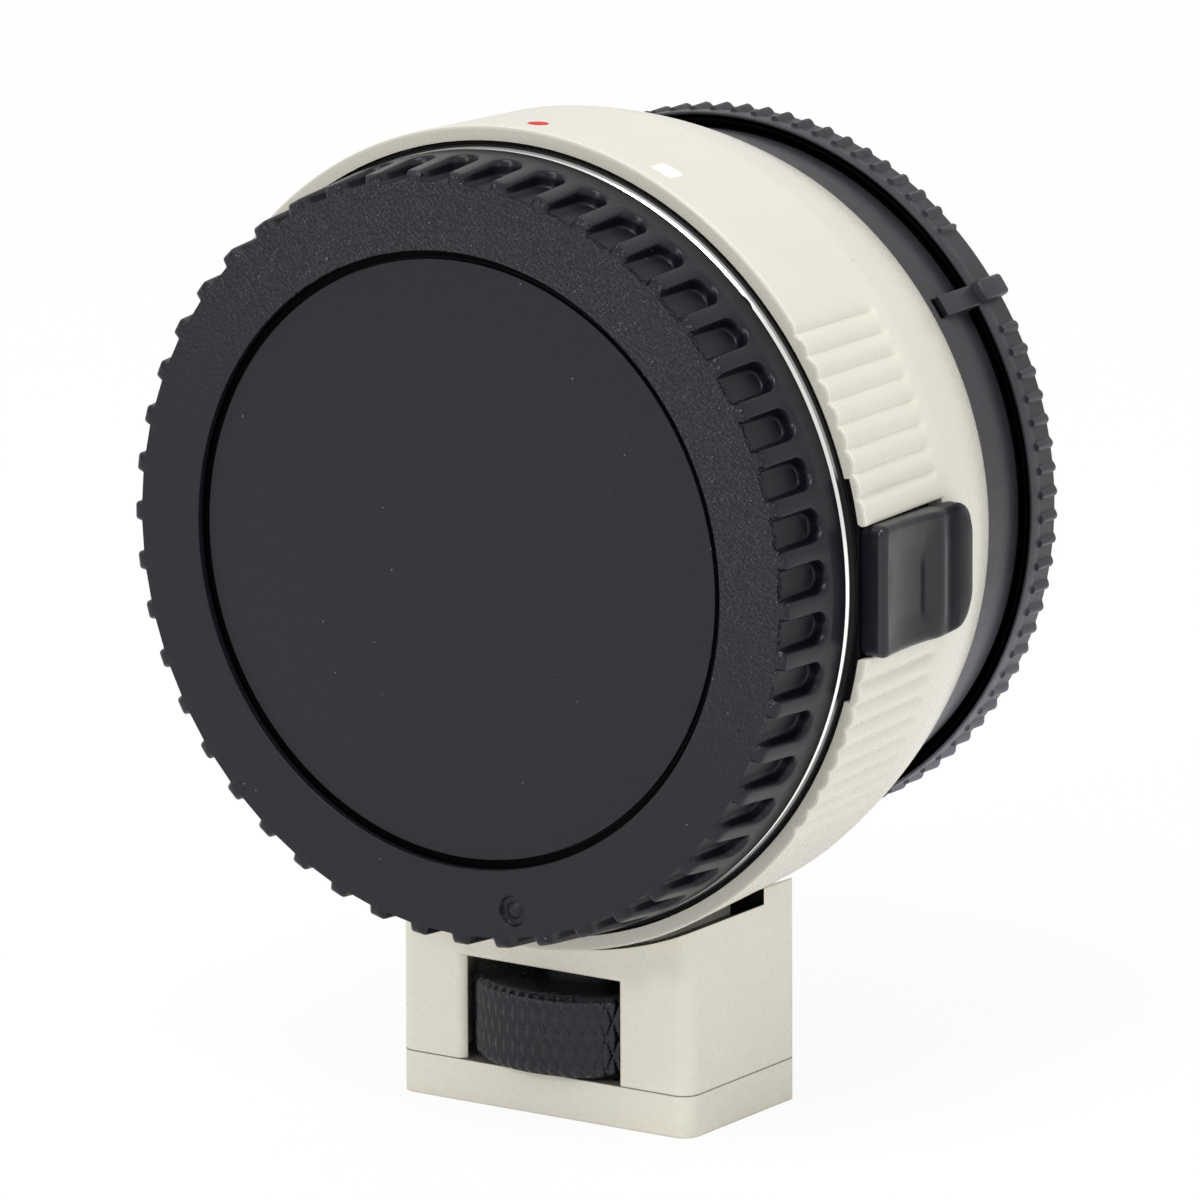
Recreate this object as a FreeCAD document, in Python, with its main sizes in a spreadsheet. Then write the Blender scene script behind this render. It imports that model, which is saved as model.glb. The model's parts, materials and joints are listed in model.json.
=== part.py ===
import FreeCAD, Part
import math
import os
import Sketcher

# A lens mount adapter with its two caps, a sprung release lever and a tripod foot.
# Millimetres. The origin lies on the optical axis, in the front face of the lens-side ring.
# X points to the release lever, Y to the camera, Z up. Angles start at +X and turn towards +Z.

SIZES = {
    # lens-side ring
    "ring_radius": 32.5,
    "ring_thick": 2.2,
    "ring_chamfer": 0.55,
    "claw_radius_offset": -5.4,
    "slot_radius_offset": -3.6,
    "slot_angle": 64.0,
    "claw_step": 60.0,
    "claw_centre": 30.0,
    "pin_place_offset": -2.1,
    "pin_radius": 1.2,
    "pin_reach": 1.9,
    "ring_screw_place_offset": -1.75,
    "ring_screw_angle": 45.0,
    "ring_screw_count": 4.0,
    # camera-side ring
    "flange_distance": 26.0,
    "rear_radius": 28.3,
    "rear_thick": 2.0,
    "rear_bore_offset": -6.7,
    "rear_tube_offset": -5.3,
    "rear_tab_radius_offset": -3.8,
    "rear_tab_thick": 1.4,
    "rear_reach": 2.9,
    "rear_tab_angle": 50.0,
    "rear_tab_centre": 90.0,
    "rear_tab_count": 3.0,
    "rear_screw_place_offset": -2.0,
    "rear_screw_angle": 60.0,
    "rear_screw_count": 4.0,
    "rear_lock_radius": 1.6,
    "rear_lock_depth": 1.2,
    "rear_lock_angle": 165.0,
    # small screws and clearances
    "screw_head": 1.35,
    "screw_shank": 0.8,
    "screw_length": 5.8,
    "fit_gap": 0.05,
    "seat_gap": 0.1,
    "wide_gap": 0.2,
    # outer barrel
    "barrel_front": 0.45,
    "rim_inner_offset": 0.25,
    "rim_outer_offset": 1.56,
    "crease_radius_offset": 0.8,
    "crease_place": 13.9,
    "shoulder_radius": 44.0,
    "barrel_rear_radius_offset": 1.52,
    "barrel_rear_offset": -1.56,
    "rim_depth": 4.15,
    "barrel_bore_offset": -0.6,
    "barrel_wall": 1.4,
    "lip_thick": 1.4,
    "groove_first": 13.1,
    "groove_pitch": 3.44,
    "groove_count": 8.0,
    "groove_round": 0.7,
    "groove_depth": 0.42,
    "groove_end": 12.2,
    "notch_half_angle": 16.1,
    "notch_radius_offset": 0.8,
    # index marks
    "mark_place": 3.6,
    "red_mark_radius": 0.87,
    "white_mark_side": 2.1,
    "white_mark_angle": 68.3,
    "white_mark_corner": 0.4,
    "mark_depth": 0.35,
    # inner chassis
    "lip_front": 0.8,
    "lip_gap": 0.03,
    "chassis_gap": 0.05,
    "bay_depth": 2.8,
    "bay_radius_offset": -3.5,
    "chassis_bore_offset": -5.6,
    "board_room": 20.0,
    "rear_room_offset": -1.4,
    "rear_land_bore_offset": 0.3,
    # leaf springs
    "leaf_thick": 0.25,
    "leaf_inner_offset": 0.2,
    "leaf_outer_offset": -0.2,
    "leaf_half": 9.0,
    "leaf_flat": 2.6,
    "leaf_rise": 0.7,
    # light baffle, board and cables
    "baffle_front": 9.1,
    "baffle_flange": 0.9,
    "baffle_tube_offset": -3.7,
    "baffle_neck_offset": -0.1,
    "baffle_wall": 0.9,
    "window_wide": 35.0,
    "window_high": 25.0,
    "board_place": 12.5,
    "board_thick": 0.8,
    "board_inner_offset": -3.3,
    "board_outer_offset": -0.15,
    "board_angle": 220.0,
    "chip_long": 3.6,
    "chip_wide": 2.2,
    "chip_thick": 1.0,
    "flex_thick": 0.2,
    "flex_angle": 16.0,
    # lens-side contacts
    "block_front": 5.4,
    "block_inner_offset": -4.0,
    "block_angle": 62.0,
    "contact_place_offset": -2.0,
    "contact_radius": 0.45,
    "contact_reach": 1.0,
    "contact_count": 8.0,
    "contact_span": 49.0,
    "contact_travel": 0.6,
    "contact_seat": 0.6,
    "block_rear": 9.0,
    # camera-side contacts
    "rear_block_inner_offset": -8.9,
    "rear_block_front_offset": -5.0,
    "rear_block_reach": 2.4,
    "rear_block_angle": 48.0,
    "pad_count": 10.0,
    "pad_span": 38.0,
    "pad_wide": 1.1,
    "pad_long": 1.5,
    "pad_thick": 0.15,
    # release lever
    "lever_half": 5.45,
    "lever_front": 0.95,
    "lever_rear": 15.3,
    "lever_corner": 3.0,
    "lever_floor_offset": 0.3,
    "lever_overhang": 9.9,
    "overhang_floor_offset": 1.0,
    "ridge_front_offset": 0.89,
    "ridge_front_place": 1.7,
    "dish_radius": 14.0,
    "dish_end_offset": 0.49,
    "dish_end_place": 7.2,
    "lever_front_corner": 0.8,
    "lever_front_drop": 0.5,
    "ridge_round": 0.9,
    "ridge_drop": 0.25,
    "ridge_run": 1.2,
    "ridge_rear_round": 3.0,
    "ridge_rear_offset": 1.54,
    "ridge_rear_place": 9.2,
    "rear_fall_radius": 15.0,
    "lever_rear_top_offset": 0.24,
    "lever_travel": 2.6,
    # release slider in its bay
    "bay_half": 4.2,
    "bay_floor_offset": -3.9,
    "bay_front": 5.3,
    "bay_rear": 14.4,
    "slider_half": 4.0,
    "slider_front": 5.6,
    "slider_long": 4.2,
    "slider_top_offset": -0.1,
    "leg_half": 3.6,
    "spring_radius": 1.3,
    "spring_wall": 0.35,
    "spring_side": 2.4,
    "guide_radius": 0.75,
    "guide_place_offset": -2.5,
    "guide_socket": 1.0,
    # shoe below the barrel
    "shoe_half": 11.0,
    "shoe_front": 5.5,
    "shoe_rear": 18.0,
    "shoe_floor_offset": 0.84,
    "insert_radius": 4.0,
    "insert_top_offset": -1.5,
    "stud_radius": 2.4,
    "stud_gap": 0.1,
    "shoe_screw_across": 8.6,
    "shoe_screw_inset": 1.9,
    "shoe_screw_head": 1.0,
    # tripod foot
    "foot_half": 14.3,
    "foot_front": 3.7,
    "foot_rear": 20.0,
    "foot_corner": 1.5,
    "foot_bottom_offset": 3.52,
    "foot_seam_offset": 10.81,
    "foot_top_offset": -6.6,
    "saddle_radius_offset": 0.54,
    "saddle_step": 14.75,
    "saddle_rear_radius_offset": 0.1,
    "window_half": 7.6,
    "window_top_offset": 1.95,
    "window_round": 1.0,
    "plate_chamfer": 0.5,
    "plate_screw_across": 11.9,
    "plate_screw_inset": 2.7,
    "plate_screw_length": 8.0,
    # thumb wheel and stud
    "wheel_radius": 10.35,
    "wheel_bottom_offset": -0.41,
    "wheel_top_offset": -7.21,
    "wheel_chamfer": 0.5,
    "wheel_gap": 0.55,
    "wheel_recess": 4.0,
    "wheel_recess_depth": 2.2,
    "stud_top_offset": 0.6,
    "stud_head": 0.8,
    "stud_head_radius": 3.4,
    "washer_radius": 5.2,
    # tripod bush
    "bush_radius": 4.6,
    "bush_flange": 5.8,
    "bush_flange_thick": 0.9,
    "bush_hole": 2.6,
    # front cap
    "cap_face": 8.4,
    "cap_disc_radius_offset": -7.82,
    "cap_disc_step": 0.5,
    "cap_groove_width": 0.74,
    "cap_groove_depth": 1.1,
    "cap_shoulder_radius_offset": -1.5,
    "cap_tooth_radius_offset": -0.55,
    "cap_tooth_drop": 0.9,
    "cap_edge": 0.3,
    "cap_edge_out": 0.15,
    "cap_edge_drop": 0.18,
    "cap_edge_round": 0.6,
    "cap_notch_flare": 0.35,
    "cap_notch_flare_long": 0.5,
    "cap_radius_offset": -0.2,
    "cap_rear_gap": 0.2,
    "cap_rear_bevel": 0.35,
    "cap_notch_count": 48.0,
    "cap_notch_first": 3.71,
    "cap_notch_width": 2.5,
    "cap_notch_floor_offset": -1.5,
    "cap_notch_end": 3.0,
    "cap_pin_room": 2.2,
    "cap_pin_outer_offset": -0.75,
    "cap_hollow_inner_offset": -4.1,
    "cap_hollow_outer_offset": -2.6,
    "cap_hollow_depth": 7.0,
    "cap_tube_wall": 1.5,
    "cap_floor": 1.6,
    "cap_tab_thick": 1.55,
    "cap_tab_angle": 50.0,
    "cap_mark_across": 5.29,
    "cap_mark_down": 28.32,
    "cap_mark_radius": 1.25,
    "cap_mark_depth": 0.4,
    "cap_dome_radius": 0.9,
    # rear cap
    "skirt_front_offset": -1.45,
    "skirt_front_radius_offset": 1.3,
    "skirt_rear_radius_offset": 0.12,
    "skirt_rear_offset": 4.97,
    "skirt_gap": 0.15,
    "moat_depth": 1.6,
    "moat_ridge_radius_offset": 0.53,
    "moat_ridge_width": 0.18,
    "moat_outer_offset": 0.98,
    "lip_radius_offset": 1.28,
    "lip_place_offset": 0.15,
    "rib_base_offset": 1.08,
    "rib_front_offset": 1.43,
    "cap_rear_offset": 4.03,
    "cap_rear_wall": 2.2,
    "rib_place_offset": 0.08,
    "rib_round": 0.38,
    "rib_first": 47.8,
    "rib_span": 341.6,
    "rib_count": 89.0,
    "key_angle": 36.0,
    "key_wide": 1.84,
    "key_front_offset": 0.5,
    "key_front_radius_offset": 1.33,
    "key_block_front_offset": 0.33,
    "key_block_radius_offset": 2.33,
    "key_rear_offset": 3.63,
    "key_slot_long": 0.7,
}

# Sizes that keep a fixed offset from another size, so that pieces that belong together stay together.
FOLLOWS = {
    "claw_radius": "ring_radius",
    "slot_radius": "ring_radius",
    "pin_place": "ring_radius",
    "ring_screw_place": "ring_radius",
    "rear_bore": "rear_radius",
    "rear_tube": "rear_radius",
    "rear_tab_radius": "rear_radius",
    "rear_screw_place": "rear_radius",
    "rim_inner": "ring_radius",
    "rim_outer": "ring_radius",
    "crease_radius": "ring_radius",
    "barrel_rear_radius": "rear_radius",
    "barrel_rear": "flange_distance",
    "barrel_bore": "ring_radius",
    "notch_radius": "ring_radius",
    "bay_radius": "ring_radius",
    "chassis_bore": "ring_radius",
    "rear_room": "rear_radius",
    "rear_land_bore": "rear_tube",
    "leaf_inner": "claw_radius",
    "leaf_outer": "slot_radius",
    "baffle_tube": "chassis_bore",
    "baffle_neck": "rear_land_bore",
    "board_inner": "chassis_bore",
    "board_outer": "chassis_bore",
    "block_inner": "chassis_bore",
    "contact_place": "chassis_bore",
    "rear_block_inner": "rear_radius",
    "rear_block_front": "flange_distance",
    "lever_floor": "ring_radius",
    "overhang_floor": "ring_radius",
    "ridge_front": "rim_outer",
    "dish_end": "rim_outer",
    "ridge_rear": "rim_outer",
    "lever_rear_top": "rim_outer",
    "bay_floor": "ring_radius",
    "slider_top": "ring_radius",
    "guide_place": "ring_radius",
    "shoe_floor": "rim_outer",
    "insert_top": "barrel_bore",
    "foot_bottom": "foot_seam",
    "foot_seam": "saddle_radius",
    "foot_top": "saddle_radius",
    "saddle_radius": "rim_outer",
    "saddle_rear_radius": "crease_radius",
    "window_top": "saddle_radius",
    "wheel_bottom": "foot_seam",
    "wheel_top": "foot_seam",
    "stud_top": "insert_top",
    "cap_disc_radius": "ring_radius",
    "cap_shoulder_radius": "ring_radius",
    "cap_tooth_radius": "ring_radius",
    "cap_radius": "ring_radius",
    "cap_notch_floor": "ring_radius",
    "cap_pin_outer": "ring_radius",
    "cap_hollow_inner": "ring_radius",
    "cap_hollow_outer": "ring_radius",
    "skirt_front": "flange_distance",
    "skirt_front_radius": "rear_radius",
    "skirt_rear_radius": "rear_radius",
    "skirt_rear": "flange_distance",
    "moat_ridge_radius": "skirt_rear_radius",
    "moat_outer": "skirt_rear_radius",
    "lip_radius": "skirt_rear_radius",
    "lip_place": "skirt_rear",
    "rib_base": "skirt_rear_radius",
    "rib_front": "skirt_rear",
    "cap_rear": "skirt_rear",
    "rib_place": "rib_base",
    "key_front": "flange_distance",
    "key_front_radius": "skirt_rear_radius",
    "key_block_front": "skirt_rear",
    "key_block_radius": "skirt_rear_radius",
    "key_rear": "skirt_rear",
}


class Size:
    """A size of the sheet, or a sum or share of such sizes, as a formula and as a number."""

    def __init__(self, formula, number):
        self.formula = formula
        self.number = number

    def __add__(self, other):
        other = as_size(other)
        return Size(f"({self.formula} + {other.formula})", self.number + other.number)

    def __sub__(self, other):
        other = as_size(other)
        return Size(f"({self.formula} - {other.formula})", self.number - other.number)

    def __mul__(self, other):
        other = as_size(other)
        return Size(f"({self.formula} * {other.formula})", self.number * other.number)

    def __truediv__(self, other):
        other = as_size(other)
        return Size(f"({self.formula} / {other.formula})", self.number / other.number)

    def __neg__(self):
        return Size(f"(0 - {self.formula})", -self.number)


def as_size(value):
    return value if isinstance(value, Size) else Size(repr(value), value)


def cosine(angle):
    return Size(f"cos({angle.formula})", math.cos(math.radians(angle.number)))


def sine(angle):
    return Size(f"sin({angle.formula})", math.sin(math.radians(angle.number)))


class Sizes:
    """The sheet's sizes by name."""

    def __getattr__(self, name):
        if name in FOLLOWS:
            return getattr(self, FOLLOWS[name]) + getattr(self, name + "_offset")
        return Size("Sizes." + name, SIZES[name])


doc = FreeCAD.newDocument("LensMountAdapter")
sheet = doc.addObject("Spreadsheet::Sheet", "Sizes")
for row, (alias, number) in enumerate(SIZES.items(), start=1):
    sheet.set(f"A{row}", alias)
    sheet.set(f"B{row}", str(number))
    sheet.setAlias(f"B{row}", alias)
doc.recompute()
d = Sizes()
ZERO = as_size(0.0)
FULL = as_size(360.0)
TURN_TO_Y = FreeCAD.Rotation(FreeCAD.Vector(1, 0, 0), -90)
NO_TURN = FreeCAD.Rotation()
PARTS = []


def new_body(label):
    """An empty body whose label names its file."""
    body = doc.addObject("PartDesign::Body", label)
    body.Label = label
    body.AllowCompound = True
    PARTS.append(body)
    return body


def origin_feature(body, role):
    return next(item for item in body.Origin.OriginFeatures if item.Role == role)


def bind(item, prop, size):
    item.setExpression(prop, as_size(size).formula)


def bulge(start, end, radius):
    """Midpoint of the arc from start to end; a positive radius turns left."""
    chord = end - start
    half = chord.Length / 2
    sagitta = abs(radius) - math.sqrt(max(radius * radius - half * half, 0.0))
    side = FreeCAD.Vector(chord.y, -chord.x, 0).normalize()
    return (start + end) * 0.5 + side * math.copysign(sagitta, radius)


def outline(body, corners, role="XY_Plane", turn=None, lift=None):
    """Closed outline. A corner is (across, along), with the radius of the arc to the next corner as a third."""
    sketch = body.newObject("Sketcher::SketchObject", body.Label + "_outline")
    sketch.AttachmentSupport = [(origin_feature(body, role), "")]
    sketch.MapMode = "FlatFace"
    if turn is not None:
        spin = FreeCAD.Rotation(FreeCAD.Vector(0, -1, 0), turn.number)
        sketch.AttachmentOffset = FreeCAD.Placement(FreeCAD.Vector(), spin)
        bind(sketch, "AttachmentOffset.Rotation.Angle", turn)
    if lift is not None and turn is not None:
        bind(sketch, "AttachmentOffset.Base.x", -lift * sine(turn))
        bind(sketch, "AttachmentOffset.Base.z", lift * cosine(turn))
    elif lift is not None:
        bind(sketch, "AttachmentOffset.Base.z", lift)
    spots = [FreeCAD.Vector(as_size(c[0]).number, as_size(c[1]).number, 0) for c in corners]
    ends = []
    for index, corner in enumerate(corners):
        here = spots[index]
        there = spots[(index + 1) % len(spots)]
        if len(corner) == 3:
            radius = corner[2].number
            middle = bulge(here, there, radius)
            geometry = sketch.addGeometry(Part.Arc(here, middle, there), False)
            ends.append((geometry, 1, 2) if radius > 0 else (geometry, 2, 1))
        else:
            geometry = sketch.addGeometry(Part.LineSegment(here, there), False)
            ends.append((geometry, 1, 2))
    for index, end in enumerate(ends):
        following = ends[(index + 1) % len(ends)]
        sketch.addConstraint(Sketcher.Constraint("Coincident", end[0], end[2], following[0], following[1]))
    for index, corner in enumerate(corners):
        geometry, first, last = ends[index]
        for value, kind, axis in ((corner[0], "DistanceX", -2), (corner[1], "DistanceY", -1)):
            value = as_size(value)
            if value.formula == ZERO.formula:
                sketch.addConstraint(Sketcher.Constraint("PointOnObject", geometry, first, axis))
                continue
            place = sketch.addConstraint(Sketcher.Constraint(kind, -1, 1, geometry, first, value.number))
            bind(sketch, f"Constraints[{place}]", value)
        if len(corner) == 3:
            radius = corner[2] if corner[2].number > 0 else -corner[2]
            place = sketch.addConstraint(Sketcher.Constraint("Radius", geometry, radius.number))
            bind(sketch, f"Constraints[{place}]", radius)
    return sketch


def turned(body, corners, angle=FULL, centre=None, cut=False):
    """Solid or cut turned about the optical axis, all round or an angle about a centre direction."""
    turn = None if centre is None else centre - angle / 2
    sketch = outline(body, corners, turn=turn)
    kind = "PartDesign::Groove" if cut else "PartDesign::Revolution"
    feature = body.newObject(kind, body.Label + ("_groove" if cut else "_turned"))
    feature.Profile = sketch
    feature.ReferenceAxis = (sketch, ["V_Axis"])
    feature.Reversed = True
    bind(feature, "Angle", angle)
    return feature


def prism(body, corners, role, low, high, cut=False, turn=None):
    """Prism of an outline between two levels along the plane's normal."""
    sketch = outline(body, corners, role=role, lift=low, turn=turn)
    kind = "PartDesign::Pocket" if cut else "PartDesign::Pad"
    feature = body.newObject(kind, body.Label + ("_pocket" if cut else "_pad"))
    feature.Profile = sketch
    feature.Reversed = cut
    bind(feature, "Length", as_size(high) - as_size(low))
    return feature


def place(feature, spot, rotation=NO_TURN):
    feature.Placement = FreeCAD.Placement(FreeCAD.Vector(*[as_size(v).number for v in spot]), rotation)
    for axis, value in zip("xyz", spot):
        bind(feature, "Placement.Base." + axis, value)


def cylinder(body, spot, radius, length, along="Y", cut=False):
    """Cylinder from a spot towards +Y or +Z."""
    kind = "PartDesign::SubtractiveCylinder" if cut else "PartDesign::AdditiveCylinder"
    feature = body.newObject(kind, body.Label + ("_hole" if cut else "_cylinder"))
    bind(feature, "Radius", radius)
    bind(feature, "Height", length)
    place(feature, spot, TURN_TO_Y if along == "Y" else NO_TURN)
    return feature


def block(body, low, high, cut=False):
    """Box between two corners."""
    kind = "PartDesign::SubtractiveBox" if cut else "PartDesign::AdditiveBox"
    feature = body.newObject(kind, body.Label + ("_slot" if cut else "_block"))
    spans = [as_size(b) - as_size(a) for a, b in zip(low, high)]
    bind(feature, "Length", spans[0])
    bind(feature, "Width", spans[1])
    bind(feature, "Height", spans[2])
    place(feature, low)
    return feature


def around(body, features, angle, count):
    """Copies about the optical axis, the first and last at the ends of the angle."""
    pattern = body.newObject("PartDesign::PolarPattern", body.Label + "_pattern")
    pattern.Originals = features
    pattern.Axis = (origin_feature(body, "Y_Axis"), [""])
    bind(pattern, "Angle", angle)
    bind(pattern, "Occurrences", count)
    body.Tip = pattern
    return pattern


def polar_spot(radius, angle, along):
    return (radius * cosine(angle), along, radius * sine(angle))


def rounded(low_x, high_x, low_y, high_y, radius):
    """Corners of a rectangle with rounded corners, counter-clockwise."""
    return [
        (low_x + radius, low_y),
        (high_x - radius, low_y, radius),
        (high_x, low_y + radius),
        (high_x, high_y - radius, radius),
        (high_x - radius, high_y),
        (low_x + radius, high_y, radius),
        (low_x, high_y - radius),
        (low_x, low_y + radius, radius),
    ]


def screw_corners(place_radius, head_face, gap, length, sense):
    """Half section of a countersunk screw beside its own axis; sense is +1 where it points to +Y."""
    head = d.screw_head + gap
    shank = d.screw_shank + gap
    return [
        (place_radius, head_face),
        (place_radius + head, head_face),
        (place_radius + shank, head_face + (d.screw_head - d.screw_shank) * sense),
        (place_radius + shank, head_face + length * sense),
        (place_radius, head_face + length * sense),
    ]


def screw(body, place_radius, angle, head_face, gap, length, sense, cut=False):
    """Countersunk screw, or its hole, parallel to the optical axis."""
    sketch = outline(body, screw_corners(place_radius, head_face, gap, length, sense), turn=angle)
    corner = FreeCAD.Vector(place_radius.number, head_face.number, 0)
    tip = FreeCAD.Vector(place_radius.number, (head_face + length * sense).number, 0)
    axis = sketch.addGeometry(Part.LineSegment(corner, tip), True)
    sketch.addConstraint(Sketcher.Constraint("Coincident", axis, 1, 0, 1))
    sketch.addConstraint(Sketcher.Constraint("Coincident", axis, 2, 4, 1))
    kind = "PartDesign::Groove" if cut else "PartDesign::Revolution"
    feature = body.newObject(kind, body.Label + "_screw")
    feature.Profile = sketch
    feature.ReferenceAxis = (sketch, ["Axis0"])
    bind(feature, "Angle", FULL)
    return feature


def ring_claws():
    return FULL / d.claw_step / 2


# Lens side: the steel ring with its three claws


def front_mount_ring():
    body = new_body("front_mount_ring")
    turned(body, [
        (d.claw_radius, ZERO),
        (d.ring_radius - d.ring_chamfer, ZERO),
        (d.ring_radius, d.ring_chamfer),
        (d.ring_radius, d.ring_thick),
        (d.claw_radius, d.ring_thick),
    ])
    entry = turned(body, [
        (d.claw_radius - d.ring_thick, -d.ring_thick),
        (d.slot_radius, -d.ring_thick),
        (d.slot_radius, d.ring_thick * 2),
        (d.claw_radius - d.ring_thick, d.ring_thick * 2),
    ], angle=d.slot_angle, centre=d.claw_centre + d.claw_step, cut=True)
    around(body, [entry], FULL, ring_claws())
    cylinder(body, (d.pin_place, -d.ring_thick, ZERO), d.pin_radius + d.fit_gap, d.ring_thick * 3, cut=True)
    hole = screw(body, d.ring_screw_place, d.ring_screw_angle, ZERO, d.fit_gap, d.screw_length, 1, cut=True)
    around(body, [hole], FULL, d.ring_screw_count)


def front_mount_screws():
    body = new_body("front_mount_screws")
    one = screw(body, d.ring_screw_place, d.ring_screw_angle, ZERO, ZERO, d.screw_length, 1)
    around(body, [one], FULL, d.ring_screw_count)


def mount_leaf_springs():
    """Three bowed leaves that press the lens tabs against the claws."""
    body = new_body("mount_leaf_springs")
    foot = d.ring_thick + d.bay_depth - d.leaf_thick
    top = foot - d.leaf_rise
    run = d.leaf_flat + d.leaf_rise * 3
    for index in range(3):
        sketch = outline(body, [
            (-d.leaf_half, foot),
            (-run, foot),
            (-d.leaf_flat, top),
            (d.leaf_flat, top),
            (run, foot),
            (d.leaf_half, foot),
            (d.leaf_half, foot + d.leaf_thick),
            (run, foot + d.leaf_thick),
            (d.leaf_flat, top + d.leaf_thick),
            (-d.leaf_flat, top + d.leaf_thick),
            (-run, foot + d.leaf_thick),
            (-d.leaf_half, foot + d.leaf_thick),
        ], turn=d.claw_centre - 90.0 + d.claw_step * (2.0 * index))
        leaf = body.newObject("PartDesign::Pad", "mount_leaf_springs_pad")
        leaf.Profile = sketch
        bind(leaf, "Length", d.leaf_outer * 1.1)
    turned(body, [
        (d.leaf_outer, top - d.leaf_thick),
        (d.leaf_outer * 1.3, top - d.leaf_thick),
        (d.leaf_outer * 1.3, foot + d.leaf_thick * 2),
        (d.leaf_outer, foot + d.leaf_thick * 2),
    ], cut=True)
    turned(body, [
        (ZERO, top - d.leaf_thick),
        (d.leaf_inner, top - d.leaf_thick),
        (d.leaf_inner, foot + d.leaf_thick * 2),
        (ZERO, foot + d.leaf_thick * 2),
    ], cut=True)


# Chassis: the black frame that both rings and the barrel are screwed to


def chassis():
    body = new_body("chassis")
    lip_outer = d.rim_inner - d.chassis_gap
    outer = d.barrel_bore - d.chassis_gap
    rim_end = d.barrel_front + d.rim_depth - d.chassis_gap
    rear_seat = d.flange_distance - d.rear_thick
    land = rear_seat - d.lip_thick + d.seat_gap
    turned(body, [
        (d.bay_radius, d.ring_thick),
        (d.ring_radius + d.lip_gap, d.ring_thick),
        (d.ring_radius + d.lip_gap, d.lip_front),
        (lip_outer, d.lip_front),
        (lip_outer, rim_end),
        (outer, rim_end),
        (outer, d.crease_place),
        (d.rear_radius + d.fit_gap, land),
        (d.rear_radius + d.fit_gap, rear_seat),
        (d.rear_land_bore, rear_seat),
        (d.rear_land_bore, d.board_room),
        (d.rear_room, d.board_room),
        (d.chassis_bore, d.crease_place),
        (d.chassis_bore, d.ring_thick + d.bay_depth),
        (d.bay_radius, d.ring_thick + d.bay_depth),
    ])
    turned(body, [
        (lip_outer - d.fit_gap, d.lip_front),
        (d.notch_radius - d.fit_gap, d.lip_front),
        (d.notch_radius - d.fit_gap, rim_end),
        (lip_outer - d.fit_gap, rim_end),
    ], angle=d.notch_half_angle * 2 - d.seat_gap * 3, centre=ZERO)
    half = d.lever_half + d.fit_gap
    block(body, (lip_outer, ZERO, -half), (d.rim_outer, d.crease_place, half), cut=True)
    block(body, (d.bay_floor, d.bay_front, -d.bay_half), (d.rim_outer, d.bay_rear, d.bay_half), cut=True)
    pin_hole = d.pin_radius + d.fit_gap
    cylinder(body, (d.pin_place, ZERO, ZERO), pin_hole, d.bay_front + d.ring_thick, cut=True)
    for side in (-1, 1):
        spot = (d.guide_place, d.bay_rear, d.spring_side * side)
        cylinder(body, spot, d.guide_radius + d.lip_gap, d.guide_socket, cut=True)
    hole = screw(body, d.ring_screw_place, d.ring_screw_angle, ZERO, d.fit_gap, d.screw_length, 1, cut=True)
    around(body, [hole], FULL, d.ring_screw_count)
    rear = screw(body, d.rear_screw_place, d.rear_screw_angle, d.flange_distance, d.fit_gap,
                 d.screw_length, -1, cut=True)
    around(body, [rear], FULL, d.rear_screw_count)
    down = (ZERO, stud_along(), -d.shoe_floor)
    cylinder(body, down, d.insert_radius + d.fit_gap, d.shoe_floor - d.insert_top, along="Z", cut=True)
    for across, along in shoe_screw_spots():
        cylinder(body, (across, along, -d.shoe_floor), d.screw_shank + d.fit_gap,
                 d.screw_length, along="Z", cut=True)
    turned(body, [
        (d.rear_land_bore - d.fit_gap, d.board_room - d.fit_gap),
        (d.rear_land_bore + d.flex_thick * 3, d.board_room - d.fit_gap),
        (d.rear_land_bore + d.flex_thick * 3, rear_seat + d.fit_gap),
        (d.rear_land_bore - d.fit_gap, rear_seat + d.fit_gap),
    ], angle=d.flex_angle + d.seat_gap * 10, centre=as_size(270.0), cut=True)


# Outer barrel


def barrel_corners(grow, inner):
    """Section of the barrel, or of the clear space round it where grow is over 0."""
    shoulder = d.flange_distance - d.rear_thick - d.lip_thick
    outside = [
        (d.rim_outer + grow, d.barrel_front),
        (d.crease_radius + grow, d.crease_place, d.shoulder_radius),
        (d.barrel_rear_radius + grow, d.barrel_rear),
    ]
    if not inner:
        return [(ZERO, d.barrel_front)] + outside + [(ZERO, d.barrel_rear)]
    return outside + [
        (d.rear_radius + d.seat_gap, d.barrel_rear),
        (d.rear_radius + d.seat_gap, shoulder),
        (d.barrel_bore, d.crease_place),
        (d.barrel_bore, d.barrel_front + d.rim_depth),
        (d.rim_inner, d.barrel_front + d.rim_depth),
        (d.rim_inner, d.barrel_front),
    ]


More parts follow.
